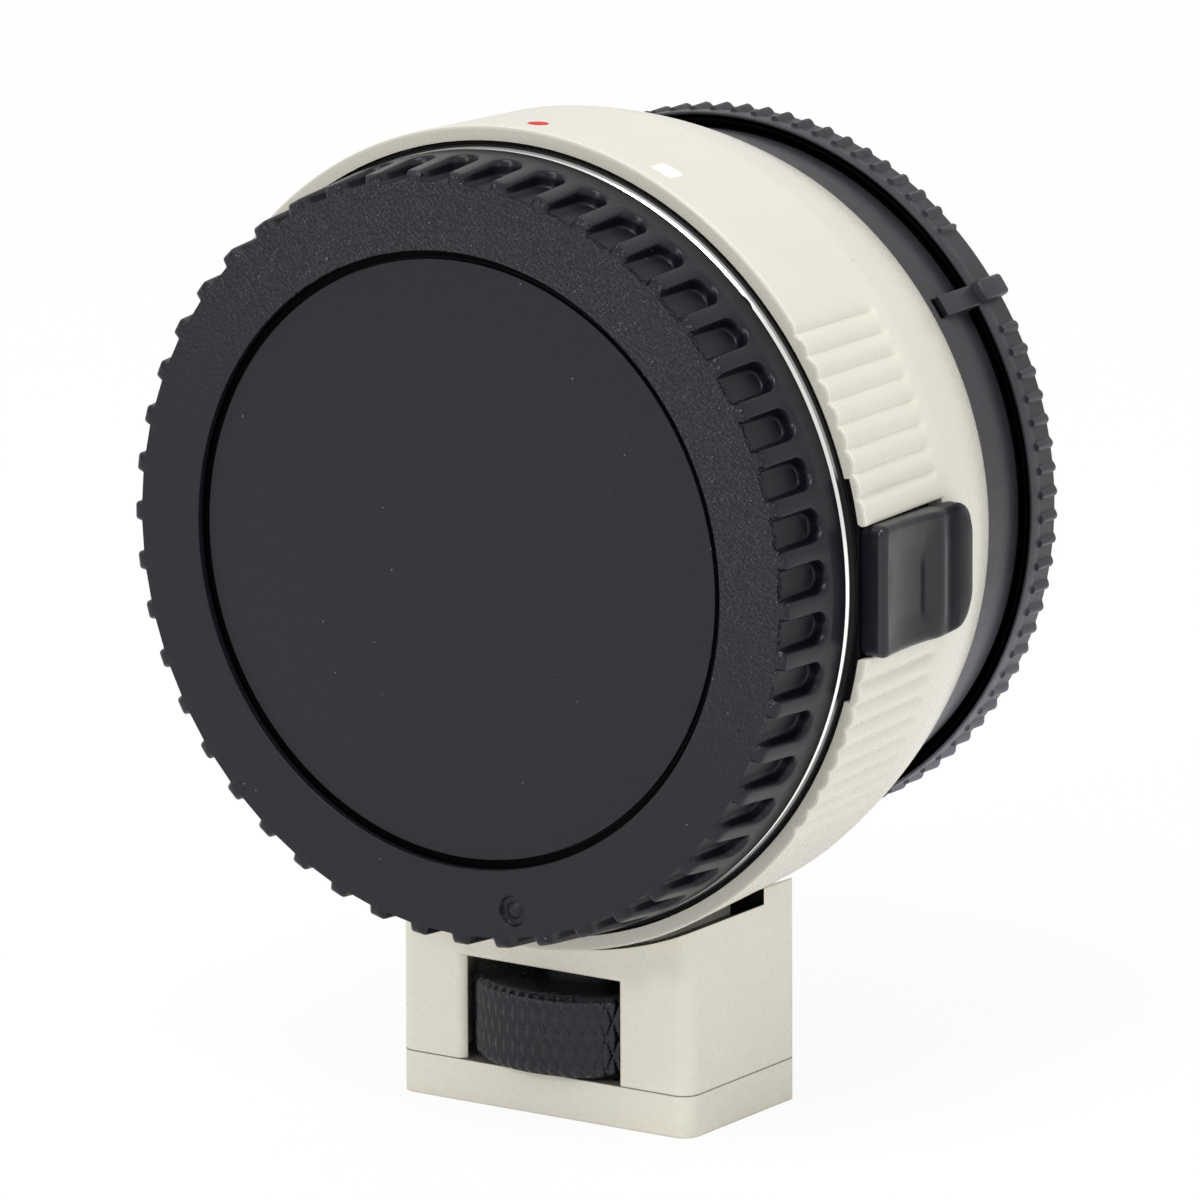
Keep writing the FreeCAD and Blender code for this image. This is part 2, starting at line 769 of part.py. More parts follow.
def outer_barrel():
    body = new_body("outer_barrel")
    turned(body, barrel_corners(ZERO, True))
    turned(body, [
        (d.rim_inner - d.fit_gap, ZERO),
        (d.notch_radius, ZERO),
        (d.notch_radius, d.barrel_front + d.rim_depth),
        (d.rim_inner - d.fit_gap, d.barrel_front + d.rim_depth),
    ], angle=d.notch_half_angle * 2, centre=ZERO, cut=True)
    half = d.lever_half + d.fit_gap
    block(body, (d.bay_floor, ZERO, -half),
          (d.rim_outer * 1.1, d.lever_overhang + d.lever_travel + d.wide_gap, half), cut=True)
    for side in (1, -1):
        angle = d.groove_first * side
        reach = d.rim_outer + d.groove_round - d.groove_depth
        slope = (d.rim_outer - d.crease_radius) / (d.crease_place - d.barrel_front)
        sketch = outline(body, [
            (reach, -d.barrel_front),
            (reach + d.groove_round, -d.barrel_front),
            (reach + d.groove_round - slope * d.groove_end, d.groove_end, d.groove_round),
            (reach - slope * d.groove_end, d.groove_end + d.groove_round),
        ], turn=angle)
        axis = sketch.addGeometry(Part.LineSegment(
            FreeCAD.Vector(reach.number, -d.barrel_front.number, 0),
            FreeCAD.Vector((reach - slope * d.groove_end).number, (d.groove_end + d.groove_round).number, 0)), True)
        sketch.addConstraint(Sketcher.Constraint("Coincident", axis, 1, 0, 1))
        sketch.addConstraint(Sketcher.Constraint("Coincident", axis, 2, 3, 1))
        groove = body.newObject("PartDesign::Groove", "outer_barrel_grip")
        groove.Profile = sketch
        groove.ReferenceAxis = (sketch, ["Axis0"])
        bind(groove, "Angle", FULL)
        pattern = around(body, [groove], d.groove_pitch * (d.groove_count - 1.0), d.groove_count)
        pattern.Reversed = side > 0
    mark_prism(body, d.red_mark_radius, d.red_mark_radius * 0.98, ZERO, d.lip_gap, True)
    mark_prism(body, d.white_mark_side / 2, d.white_mark_corner, d.white_mark_angle - 90.0, d.lip_gap, True)
    spot = (ZERO, stud_along(), -d.shoe_floor)
    cylinder(body, spot, d.insert_radius + d.fit_gap, d.shoe_floor - d.insert_top, along="Z", cut=True)
    for across, along in shoe_screw_spots():
        cylinder(body, (across, along, -d.shoe_floor), d.screw_shank + d.fit_gap, d.screw_length,
                 along="Z", cut=True)


def shoe_screw_spots():
    spots = []
    for across in (-d.shoe_screw_across, d.shoe_screw_across):
        for along in (d.shoe_front + d.shoe_screw_inset, d.shoe_rear - d.shoe_screw_inset):
            spots.append((across, along))
    return spots


def stud_along():
    return (d.foot_front + d.foot_rear) / 2


# Index marks sunk into the barrel


def barrel_surface(along):
    slope = (d.rim_outer - d.crease_radius) / (d.crease_place - d.barrel_front)
    return d.rim_outer - slope * (along - d.barrel_front)


def mark_prism(body, half, corner, turn, gap, cut):
    top = barrel_surface(d.mark_place)
    low = top - d.mark_depth
    corners = rounded(-half - gap, half + gap, d.mark_place - half - gap, d.mark_place + half + gap, corner)
    return prism(body, corners, "XY_Plane", low, top + d.mark_depth if cut else top, cut=cut, turn=turn)


def red_index_mark():
    body = new_body("red_index_mark")
    mark_prism(body, d.red_mark_radius, d.red_mark_radius * 0.98, ZERO, ZERO, False)


def white_index_mark():
    body = new_body("white_index_mark")
    mark_prism(body, d.white_mark_side / 2, d.white_mark_corner, d.white_mark_angle - 90.0, ZERO, False)


# Inside: light baffle, circuit board, cables and contacts


def light_baffle():
    body = new_body("light_baffle")
    rear = d.flange_distance - d.rear_thick
    tube_inner = d.baffle_tube - d.baffle_wall
    neck_inner = d.baffle_neck - d.baffle_wall
    turned(body, [
        (d.chassis_bore - d.seat_gap, d.baffle_front),
        (d.chassis_bore - d.seat_gap, d.baffle_front + d.baffle_flange),
        (d.baffle_tube, d.baffle_front + d.baffle_flange * 2),
        (d.baffle_tube, d.crease_place),
        (d.baffle_neck, d.board_room),
        (d.baffle_neck, rear),
        (ZERO, rear),
        (ZERO, rear - d.baffle_wall),
        (neck_inner, rear - d.baffle_wall),
        (neck_inner, d.board_room),
        (tube_inner, d.crease_place),
        (tube_inner, d.baffle_front + d.baffle_flange * 2 - d.baffle_wall / 3),
        (d.chassis_bore - d.seat_gap - d.baffle_wall, d.baffle_front),
    ])
    block(body, (-d.window_wide / 2, d.board_room, -d.window_high / 2),
          (d.window_wide / 2, rear + d.baffle_wall, d.window_high / 2), cut=True)
    turned(body, [
        (d.rear_block_inner - d.seat_gap, d.rear_block_front - d.seat_gap),
        (d.baffle_neck + d.baffle_wall, d.rear_block_front - d.seat_gap),
        (d.baffle_neck + d.baffle_wall, rear + d.baffle_wall),
        (d.rear_block_inner - d.seat_gap, rear + d.baffle_wall),
    ], angle=d.rear_block_angle + 1.0, centre=as_size(270.0), cut=True)
    turned(body, [
        (d.chassis_bore - d.flex_thick * 4, d.baffle_front - d.baffle_wall),
        (d.chassis_bore + d.baffle_wall, d.baffle_front - d.baffle_wall),
        (d.chassis_bore + d.baffle_wall, d.baffle_front + d.baffle_flange * 3),
        (d.chassis_bore - d.flex_thick * 4, d.baffle_front + d.baffle_flange * 3),
    ], angle=d.flex_angle + 1.0, centre=as_size(270.0), cut=True)


def circuit_board():
    body = new_body("circuit_board")
    turned(body, [
        (d.board_inner, d.board_place),
        (d.board_outer, d.board_place),
        (d.board_outer, d.board_place + d.board_thick),
        (d.board_inner, d.board_place + d.board_thick),
    ], angle=d.board_angle, centre=as_size(270.0))


def board_chips():
    body = new_body("board_chips")
    middle = (d.board_inner + d.board_outer) / 2
    front = d.board_place + d.board_thick
    for angle in (215.0, 235.0, 305.0, 325.0):
        sketch = outline(body, [
            (middle - d.chip_wide / 2, front),
            (middle + d.chip_wide / 2, front),
            (middle + d.chip_wide / 2, front + d.chip_thick),
            (middle - d.chip_wide / 2, front + d.chip_thick),
        ], turn=as_size(angle))
        chip = body.newObject("PartDesign::Pad", "board_chips_pad")
        chip.Profile = sketch
        chip.SideType = "Symmetric"
        bind(chip, "Length", d.chip_long)


def front_flex_cable():
    body = new_body("front_flex_cable")
    inner = d.chassis_bore - d.flex_thick * 3
    turned(body, [
        (inner, d.block_rear),
        (inner + d.flex_thick, d.block_rear),
        (inner + d.flex_thick, d.board_place),
        (inner, d.board_place),
    ], angle=d.flex_angle, centre=as_size(270.0))


def rear_flex_cable():
    body = new_body("rear_flex_cable")
    inner = d.rear_land_bore + d.flex_thick * 1.5
    front = d.board_place + d.board_thick
    rear = d.flange_distance - d.rear_thick - d.seat_gap
    turned(body, [
        (d.board_inner, front),
        (d.board_inner + d.flex_thick, front),
        (inner + d.flex_thick, d.board_room),
        (inner + d.flex_thick, rear),
        (inner, rear),
        (inner, d.board_room),
    ], angle=d.flex_angle, centre=as_size(270.0))


def contact_row(body, spot_radius, front, radius, length, cut=False):
    """Round pins or their holes, in an arc below the axis."""
    first = as_size(270.0) - d.contact_span / 2
    pin = cylinder(body, polar_spot(spot_radius, first, front), radius, length, cut=cut)
    pattern = around(body, [pin], d.contact_span, d.contact_count)
    pattern.Reversed = True


def front_contact_block():
    body = new_body("front_contact_block")
    turned(body, [
        (d.block_inner, d.block_front),
        (d.chassis_bore - d.seat_gap, d.block_front),
        (d.chassis_bore - d.seat_gap, d.block_rear),
        (d.block_inner, d.block_rear),
    ], angle=d.block_angle, centre=as_size(270.0))
    contact_row(body, d.contact_place, d.block_front - d.seat_gap, d.contact_radius + d.fit_gap,
                d.block_rear - d.block_front - d.contact_seat + d.seat_gap, cut=True)


def front_contact_pins():
    body = new_body("front_contact_pins")
    front = d.block_front - d.contact_reach
    length = d.block_rear - d.contact_seat - d.contact_travel - d.seat_gap - front
    contact_row(body, d.contact_place, front, d.contact_radius, length)


def rear_contact_block():
    body = new_body("rear_contact_block")
    ring_front = d.flange_distance - d.rear_thick
    rear = d.flange_distance + d.rear_block_reach
    turned(body, [
        (d.rear_block_inner, d.rear_block_front),
        (d.rear_land_bore - d.fit_gap, d.rear_block_front),
        (d.rear_land_bore - d.fit_gap, ring_front - d.seat_gap),
        (d.rear_bore - d.seat_gap, ring_front - d.seat_gap),
        (d.rear_bore - d.seat_gap, rear),
        (d.rear_block_inner, rear),
    ], angle=d.rear_block_angle, centre=as_size(270.0))


def rear_contact_pads():
    """Flat gold pads on the camera-facing end of the block."""
    body = new_body("rear_contact_pads")
    rear = d.flange_distance + d.rear_block_reach
    inner = (d.rear_block_inner + d.rear_bore - d.seat_gap - d.pad_long) / 2
    sketch = outline(body, [
        (inner, rear),
        (inner + d.pad_long, rear),
        (inner + d.pad_long, rear + d.pad_thick),
        (inner, rear + d.pad_thick),
    ], turn=as_size(270.0) - d.pad_span / 2)
    pad = body.newObject("PartDesign::Pad", "rear_contact_pads_pad")
    pad.Profile = sketch
    pad.SideType = "Symmetric"
    bind(pad, "Length", d.pad_wide)
    pattern = around(body, [pad], d.pad_span, d.pad_count)
    pattern.Reversed = True


# Camera side: the steel ring with its three outward tabs


def rear_mount_ring():
    body = new_body("rear_mount_ring")
    end = d.flange_distance + d.rear_reach
    turned(body, [
        (d.rear_bore, d.flange_distance - d.rear_thick),
        (d.rear_radius, d.flange_distance - d.rear_thick),
        (d.rear_radius, d.flange_distance),
        (d.rear_tube, d.flange_distance),
        (d.rear_tube, end),
        (d.rear_bore, end),
    ])
    tab = turned(body, [
        (d.rear_tube - d.seat_gap, end - d.rear_tab_thick),
        (d.rear_tab_radius, end - d.rear_tab_thick),
        (d.rear_tab_radius, end),
        (d.rear_tube - d.seat_gap, end),
    ], angle=d.rear_tab_angle, centre=d.rear_tab_centre)
    around(body, [tab], FULL, d.rear_tab_count)
    hole = screw(body, d.rear_screw_place, d.rear_screw_angle, d.flange_distance, d.fit_gap,
                 d.screw_length, -1, cut=True)
    around(body, [hole], FULL, d.rear_screw_count)
    spot = polar_spot(d.rear_screw_place, d.rear_lock_angle, d.flange_distance - d.rear_lock_depth)
    cylinder(body, spot, d.rear_lock_radius, d.rear_thick, cut=True)


def rear_mount_screws():
    body = new_body("rear_mount_screws")
    one = screw(body, d.rear_screw_place, d.rear_screw_angle, d.flange_distance, ZERO, d.screw_length, -1)
    around(body, [one], FULL, d.rear_screw_count)


# Release lever: thumb piece, slider, lock pin and return springs


def release_lever():
    body = new_body("release_lever")
    half = d.lever_half
    radius = d.lever_corner
    small = d.lever_front_corner
    prism(body, [
        (d.lever_front + small, -half),
        (d.lever_rear - radius, -half, radius),
        (d.lever_rear, -half + radius),
        (d.lever_rear, half - radius, radius),
        (d.lever_rear - radius, half),
        (d.lever_front + small, half, small),
        (d.lever_front, half - small),
        (d.lever_front, -half + small, small),
    ], "YZ_Plane", d.lever_floor, d.ridge_rear + d.fit_gap)
    above = d.ridge_rear + d.wide_gap
    sketch = outline(body, [
        (d.ridge_front - d.lever_front_drop, d.lever_front - d.wide_gap),
        (d.ridge_front - d.lever_front_drop, d.lever_front, d.ridge_round),
        (d.ridge_front, d.ridge_front_place, -d.dish_radius),
        (d.dish_end, d.dish_end_place),
        (d.ridge_rear - d.ridge_drop, d.ridge_rear_place - d.ridge_run, d.ridge_rear_round),
        (d.ridge_rear - d.ridge_drop, d.ridge_rear_place + d.ridge_run, d.rear_fall_radius),
        (d.lever_rear_top, d.lever_rear),
        (d.lever_rear_top, d.lever_rear + d.wide_gap),
        (above, d.lever_rear + d.wide_gap),
        (above, d.lever_front - d.wide_gap),
    ])
    top = body.newObject("PartDesign::Pocket", "release_lever_top")
    top.Profile = sketch
    top.Type = "ThroughAll"
    top.SideType = "Symmetric"
    block(body, (d.bay_floor, d.lever_overhang, -half - d.wide_gap),
          (d.overhang_floor, d.lever_rear + d.wide_gap, half + d.wide_gap), cut=True)
    block(body, (d.slider_top, d.slider_front, -d.leg_half),
          (d.lever_floor + d.wide_gap, d.slider_front + d.slider_long, d.leg_half))


def release_slider():
    body = new_body("release_slider")
    block(body, (d.bay_floor + d.wide_gap, d.slider_front, -d.slider_half),
          (d.slider_top, d.slider_front + d.slider_long, d.slider_half))
    cylinder(body, (d.pin_place, d.slider_front - d.wide_gap, ZERO), d.pin_radius + d.lip_gap,
             d.slider_long + d.ring_thick, cut=True)
    for side in (-1, 1):
        cylinder(body, (d.guide_place, d.slider_front - d.wide_gap, d.spring_side * side),
                 d.guide_radius + d.seat_gap, d.slider_long + d.ring_thick, cut=True)


def lock_pin():
    """Steel pin that keeps the lens from turning; its front end is rounded off by a cone."""
    body = new_body("lock_pin")
    rear = d.slider_front + d.slider_long
    sketch = outline(body, [
        (d.pin_place, -d.pin_reach),
        (d.pin_place + d.pin_radius - d.wide_gap * 2, -d.pin_reach),
        (d.pin_place + d.pin_radius, -d.pin_reach + d.wide_gap * 2),
        (d.pin_place + d.pin_radius, rear),
        (d.pin_place, rear),
    ])
    axis = sketch.addGeometry(Part.LineSegment(
        FreeCAD.Vector(d.pin_place.number, -d.pin_reach.number, 0),
        FreeCAD.Vector(d.pin_place.number, rear.number, 0)), True)
    sketch.addConstraint(Sketcher.Constraint("Coincident", axis, 1, 0, 1))
    sketch.addConstraint(Sketcher.Constraint("Coincident", axis, 2, 4, 1))
    pin = body.newObject("PartDesign::Revolution", "lock_pin_turned")
    pin.Profile = sketch
    pin.ReferenceAxis = (sketch, ["Axis0"])
    bind(pin, "Angle", FULL)


def release_guides():
    """Two rods fixed in the chassis on which the slider and its springs run."""
    body = new_body("release_guides")
    for side in (-1, 1):
        cylinder(body, (d.guide_place, d.slider_front, d.spring_side * side), d.guide_radius,
                 d.bay_rear + d.guide_socket - d.slider_front)


def release_springs():
    body = new_body("release_springs")
    front = d.slider_front + d.slider_long
    for side in (-1, 1):
        spot = (d.guide_place, front, d.spring_side * side)
        cylinder(body, spot, d.spring_radius, d.bay_rear - front)
    for side in (-1, 1):
        spot = (d.guide_place, front - d.wide_gap, d.spring_side * side)
        cylinder(body, spot, d.spring_radius - d.spring_wall, d.bay_rear - front + d.wide_gap * 2, cut=True)


# Shoe and insert below the barrel, which the tripod foot is clamped to


def foot_shoe():
    """Flat pad whose upper side follows the barrel."""
    body = new_body("foot_shoe")
    prism(body, rounded(-d.shoe_half, d.shoe_half, d.shoe_front, d.shoe_rear, d.foot_corner),
          "XY_Plane", -d.shoe_floor, -d.barrel_rear_radius)
    turned(body, barrel_corners(d.lip_gap, False), cut=True)
    cylinder(body, (ZERO, stud_along(), -d.shoe_floor - d.wide_gap), d.insert_radius + d.fit_gap,
             d.shoe_floor, along="Z", cut=True)
    for across, along in shoe_screw_spots():
        cylinder(body, (across, along, -d.shoe_floor - d.wide_gap), d.screw_shank + d.fit_gap,
                 d.shoe_floor, along="Z", cut=True)
        cylinder(body, (across, along, -d.shoe_floor - d.wide_gap), d.screw_head + d.fit_gap,
                 d.shoe_screw_head + d.wide_gap, along="Z", cut=True)


def shoe_screws():
    body = new_body("shoe_screws")
    for across, along in shoe_screw_spots():
        cylinder(body, (across, along, -d.shoe_floor), d.screw_head, d.shoe_screw_head, along="Z")
        cylinder(body, (across, along, -d.shoe_floor), d.screw_shank, d.screw_length, along="Z")


def stud_insert():
    """Threaded steel bush in the chassis that the clamping stud screws into."""
    body = new_body("stud_insert")
    spot = (ZERO, stud_along(), -d.shoe_floor)
    cylinder(body, spot, d.insert_radius, d.shoe_floor - d.insert_top, along="Z")
    cylinder(body, (ZERO, stud_along(), -d.shoe_floor - d.wide_gap), d.stud_radius + d.stud_gap,
             d.shoe_floor, along="Z", cut=True)


# Tripod foot


def foot_outline(shrink=None):
    shrink = ZERO if shrink is None else shrink
    return rounded(-d.foot_half + shrink, d.foot_half - shrink, d.foot_front + shrink,
                   d.foot_rear - shrink, d.foot_corner)


def plate_screw_spots():
    spots = []
    for across in (-d.plate_screw_across, d.plate_screw_across):
        for along in (d.foot_front + d.plate_screw_inset, d.foot_rear - d.plate_screw_inset):
            spots.append((across, along))
    return spots


def foot_housing():
    body = new_body("foot_housing")
    prism(body, foot_outline(), "XY_Plane", -d.foot_seam, -d.foot_top)
    turned(body, [
        (ZERO, ZERO),
        (d.saddle_radius, ZERO),
        (d.saddle_radius, d.saddle_step),
        (d.saddle_rear_radius, d.saddle_step),
        (d.saddle_rear_radius, d.foot_rear * 1.1),
        (ZERO, d.foot_rear * 1.1),
    ], cut=True)
    prism(body, rounded(-d.shoe_half - d.fit_gap, d.shoe_half + d.fit_gap, d.shoe_front - d.fit_gap,
                        d.shoe_rear + d.fit_gap, d.foot_corner),
          "XY_Plane", -d.shoe_floor, -d.foot_top, cut=True)
    low = -d.foot_seam - d.wide_gap
    depth = d.foot_seam + d.wide_gap - d.window_top
    cylinder(body, (ZERO, stud_along(), low), d.wheel_radius + d.wheel_gap, depth, along="Z", cut=True)
    block(body, (-d.window_half, ZERO, low), (d.window_half, d.foot_rear * 1.1, -d.window_top), cut=True)
    prism(body, [
        (-d.window_half - d.window_round, ZERO),
        (ZERO, ZERO),
        (ZERO, d.foot_front + d.window_round),
        (-d.window_half, d.foot_front + d.window_round, -d.window_round),
        (-d.window_half - d.window_round, d.foot_front),
    ], "XY_Plane", low, -d.window_top, cut=True)
    cylinder(body, (ZERO, stud_along(), low), d.stud_radius + d.wide_gap, d.foot_seam, along="Z", cut=True)
    for across, along in plate_screw_spots():
        cylinder(body, (across, along, low), d.screw_shank + d.fit_gap,
                 d.plate_screw_length, along="Z", cut=True)


def foot_base_plate():
    body = new_body("foot_base_plate")
    prism(body, foot_outline(), "XY_Plane", -d.foot_bottom, -d.foot_seam)
    low = -d.foot_bottom - d.wide_gap
    thick = d.foot_bottom - d.foot_seam
    cylinder(body, (ZERO, stud_along(), low), d.bush_radius + d.fit_gap, thick + d.wide_gap * 2,
             along="Z", cut=True)
    cylinder(body, (ZERO, stud_along(), -d.foot_seam - d.bush_flange_thick), d.bush_flange + d.fit_gap,
             thick, along="Z", cut=True)
    for across, along in plate_screw_spots():
        cylinder(body, (across, along, low), d.screw_shank + d.fit_gap, thick + d.wide_gap * 2,
                 along="Z", cut=True)
        cylinder(body, (across, along, low), d.screw_head + d.fit_gap, d.shoe_screw_head + d.wide_gap,
                 along="Z", cut=True)


def foot_plate_screws():
    body = new_body("foot_plate_screws")
    for across, along in plate_screw_spots():
        cylinder(body, (across, along, -d.foot_bottom), d.screw_head, d.shoe_screw_head, along="Z")
        cylinder(body, (across, along, -d.foot_bottom), d.screw_shank, d.plate_screw_length, along="Z")


def tripod_bush():
    body = new_body("tripod_bush")
    thick = d.foot_bottom - d.foot_seam
    cylinder(body, (ZERO, stud_along(), -d.foot_bottom), d.bush_radius, thick, along="Z")
    cylinder(body, (ZERO, stud_along(), -d.foot_seam - d.bush_flange_thick), d.bush_flange,
             d.bush_flange_thick, along="Z")
    cylinder(body, (ZERO, stud_along(), -d.foot_bottom - d.wide_gap), d.bush_hole, thick + d.wide_gap * 2,
             along="Z", cut=True)


def spun(body, corners, axis_along):
    """Solid turned about the upright stud axis; a corner is (radius, height)."""
    sketch = outline(body, corners, role="XZ_Plane", lift=-axis_along)
    feature = body.newObject("PartDesign::Revolution", body.Label + "_spun")
    feature.Profile = sketch
    feature.ReferenceAxis = (sketch, ["V_Axis"])
    bind(feature, "Angle", FULL)
    return feature


def thumb_wheel():
    body = new_body("thumb_wheel")
    edge = d.wheel_radius - d.wheel_chamfer
    bore = d.stud_radius + d.lip_gap
    spun(body, [
        (bore, -d.wheel_top),
        (bore, -d.wheel_bottom + d.wheel_recess_depth),
        (d.wheel_recess, -d.wheel_bottom + d.wheel_recess_depth),
        (d.wheel_recess, -d.wheel_bottom),
        (edge, -d.wheel_bottom),
        (d.wheel_radius, -d.wheel_bottom + d.wheel_chamfer),
        (d.wheel_radius, -d.wheel_top - d.wheel_chamfer),
        (edge, -d.wheel_top),
    ], stud_along())


def clamp_stud():
    body = new_body("clamp_stud")
    low = -d.wheel_bottom + d.wheel_recess_depth
    spun(body, [
        (ZERO, low - d.stud_head),
        (d.stud_head_radius, low - d.stud_head),
        (d.stud_head_radius, low),
        (d.stud_radius, low),
        (d.stud_radius, -d.stud_top - d.wheel_chamfer),
        (d.stud_radius - d.wheel_chamfer, -d.stud_top),
        (ZERO, -d.stud_top),
    ], stud_along())


def thumb_wheel_washer():
    body = new_body("thumb_wheel_washer")
    spun(body, [
        (d.stud_radius + d.lip_gap, -d.wheel_top),
        (d.washer_radius, -d.wheel_top),
        (d.washer_radius, -d.window_top - d.fit_gap),
        (d.stud_radius + d.lip_gap, -d.window_top - d.fit_gap),
    ], stud_along())


# Front cap


def front_cap():
    body = new_body("front_cap")
    face = -d.cap_face
    disc = face + d.cap_disc_step
    rear = -d.cap_rear_gap
    tube = d.claw_radius - d.wide_gap
    tabs_end = d.ring_thick + d.seat_gap * 1.5 + d.cap_tab_thick
    groove_floor = face + d.cap_groove_depth
    turned(body, [
        (ZERO, disc),
        (d.cap_disc_radius, disc),
        (d.cap_disc_radius, groove_floor),
        (d.cap_disc_radius + d.cap_groove_width, groove_floor),
        (d.cap_disc_radius + d.cap_groove_width, face),
        (d.cap_shoulder_radius - d.cap_edge, face, d.cap_edge_round),
        (d.cap_shoulder_radius + d.cap_edge_out, face + d.cap_edge_drop),
        (d.cap_tooth_radius, face + d.cap_tooth_drop),
        (d.cap_radius, -d.cap_notch_end),
        (d.cap_radius, rear - d.cap_rear_bevel * 2),
        (d.cap_radius - d.cap_rear_bevel, rear),
        (d.cap_pin_outer, rear),
        (d.cap_pin_outer, -d.cap_pin_room),
        (d.cap_hollow_outer, -d.cap_pin_room),
        (d.cap_hollow_outer, -d.cap_hollow_depth),
        (d.cap_hollow_inner, -d.cap_hollow_depth),
        (d.cap_hollow_inner, rear),
        (tube, rear),
        (tube, tabs_end),
        (tube - d.cap_tube_wall, tabs_end),
        (tube - d.cap_tube_wall, disc + d.cap_floor),
        (ZERO, disc + d.cap_floor),
    ])
    half = d.cap_notch_width / 2
    angle = d.cap_notch_first
    flare = half + d.cap_notch_flare
    sketch = outline(body, [
        (-flare, face - d.cap_tooth_drop),
        (flare, face - d.cap_tooth_drop),
        (flare, face),
        (half, face + d.cap_notch_flare_long),
        (half, -d.cap_notch_end - half, half),
        (ZERO, -d.cap_notch_end, half),
        (-half, -d.cap_notch_end - half),
        (-half, face + d.cap_notch_flare_long),
        (-flare, face),
    ], turn=angle - 90.0, lift=d.cap_notch_floor)
    notch = body.newObject("PartDesign::Pocket", "front_cap_notch")
    notch.Profile = sketch
    notch.Reversed = True
    bind(notch, "Length", d.cap_radius - d.cap_notch_floor + d.cap_tooth_drop)
    around(body, [notch], FULL, d.cap_notch_count)
    tab = turned(body, [
        (tube - d.seat_gap, tabs_end - d.cap_tab_thick),
        (d.slot_radius - d.wide_gap, tabs_end - d.cap_tab_thick),
        (d.slot_radius - d.wide_gap, tabs_end),
        (tube - d.seat_gap, tabs_end),
    ], angle=d.cap_tab_angle, centre=d.claw_centre)
    around(body, [tab], FULL, ring_claws())
    spot = (d.cap_mark_across, face - d.wide_gap, -d.cap_mark_down)
    cylinder(body, spot, d.cap_mark_radius, d.cap_mark_depth + d.wide_gap, cut=True)
    dome = body.newObject("PartDesign::AdditiveSphere", "front_cap_dome")
    bind(dome, "Radius", d.cap_dome_radius)
    place(dome, (d.cap_mark_across, face + d.cap_dome_radius + d.fit_gap, -d.cap_mark_down))


# Rear cap


def rear_cap():
    body = new_body("rear_cap")
    bore = d.rear_tab_radius + d.wide_gap * 1.5
    claw_front = d.flange_distance + d.seat_gap
    claw_rear = d.flange_distance + d.rear_reach - d.rear_tab_thick - d.seat_gap
    skirt_inner = d.rear_radius + d.skirt_gap
    floor = d.cap_rear - d.cap_rear_wall
    moat = d.skirt_rear + d.moat_depth
    turned(body, [
        (skirt_inner, d.skirt_front),
        (d.skirt_front_radius, d.skirt_front),
        (d.skirt_rear_radius, d.skirt_rear),
        (d.skirt_rear_radius, moat),
        (d.moat_ridge_radius, moat),
        (d.moat_ridge_radius, d.lip_place),
        (d.moat_ridge_radius + d.moat_ridge_width, d.lip_place),
        (d.moat_ridge_radius + d.moat_ridge_width, moat),
        (d.moat_outer, moat),
        (d.moat_outer, d.lip_place),
        (d.lip_radius, d.lip_place),
        (d.lip_radius, d.rib_front),
        (d.rib_base, d.rib_front),
        (d.rib_base, d.cap_rear - d.wide_gap),
        (d.rib_base - d.wide_gap, d.cap_rear),
        (ZERO, d.cap_rear),
        (ZERO, floor),
        (bore, floor),
        (bore, claw_front),
        (skirt_inner, claw_front),
    ])
    claw = turned(body, [
        (d.rear_tube + d.seat_gap * 1.5, claw_front),
        (bore + d.seat_gap, claw_front),
        (bore + d.seat_gap, claw_rear),
        (d.rear_tube + d.seat_gap * 1.5, claw_rear),
    ], angle=d.rear_tab_angle, centre=d.rear_tab_centre)
    around(body, [claw], FULL, d.rear_tab_count)
    spot = polar_spot(d.rib_place, d.rib_first, d.rib_front)
    rib = cylinder(body, spot, d.rib_round, d.cap_rear - d.wide_gap - d.rib_front)
    pattern = around(body, [rib], d.rib_span, d.rib_count)
    pattern.Reversed = True
    low = d.skirt_rear_radius - d.seat_gap * 2
    sketch = outline(body, [
        (low, d.key_front),
        (d.key_front_radius, d.key_front),
        (d.key_front_radius, d.key_block_front),
        (d.key_block_radius, d.key_block_front),
        (d.key_block_radius, d.key_rear),
        (low, d.key_rear),
    ], turn=d.key_angle)
    key = body.newObject("PartDesign::Pad", "rear_cap_key")
    key.Profile = sketch
    key.SideType = "Symmetric"
    bind(key, "Length", d.key_wide)
    sketch = outline(body, [
        (d.skirt_rear_radius, d.key_front - d.key_slot_long),
        (d.key_block_radius, d.key_front - d.key_slot_long),
        (d.key_block_radius, d.key_front),
        (d.skirt_rear_radius, d.key_front),
    ], turn=d.key_angle)
    slot = body.newObject("PartDesign::Pocket", "rear_cap_slot")
    slot.Profile = sketch
    slot.SideType = "Symmetric"
    bind(slot, "Length", d.key_wide)


MAKERS = [
    front_mount_ring, front_mount_screws, mount_leaf_springs, chassis, outer_barrel,
    red_index_mark, white_index_mark, light_baffle, circuit_board, board_chips,
    front_flex_cable, rear_flex_cable, front_contact_block, front_contact_pins,
    rear_contact_block, rear_contact_pads, rear_mount_ring, rear_mount_screws,
    release_lever, release_slider, lock_pin, release_guides, release_springs,
    foot_shoe, shoe_screws, stud_insert, foot_housing, foot_base_plate,
    foot_plate_screws, tripod_bush, thumb_wheel, clamp_stud, thumb_wheel_washer,
    front_cap, rear_cap,
]

for make in MAKERS:
    make()
doc.recompute()

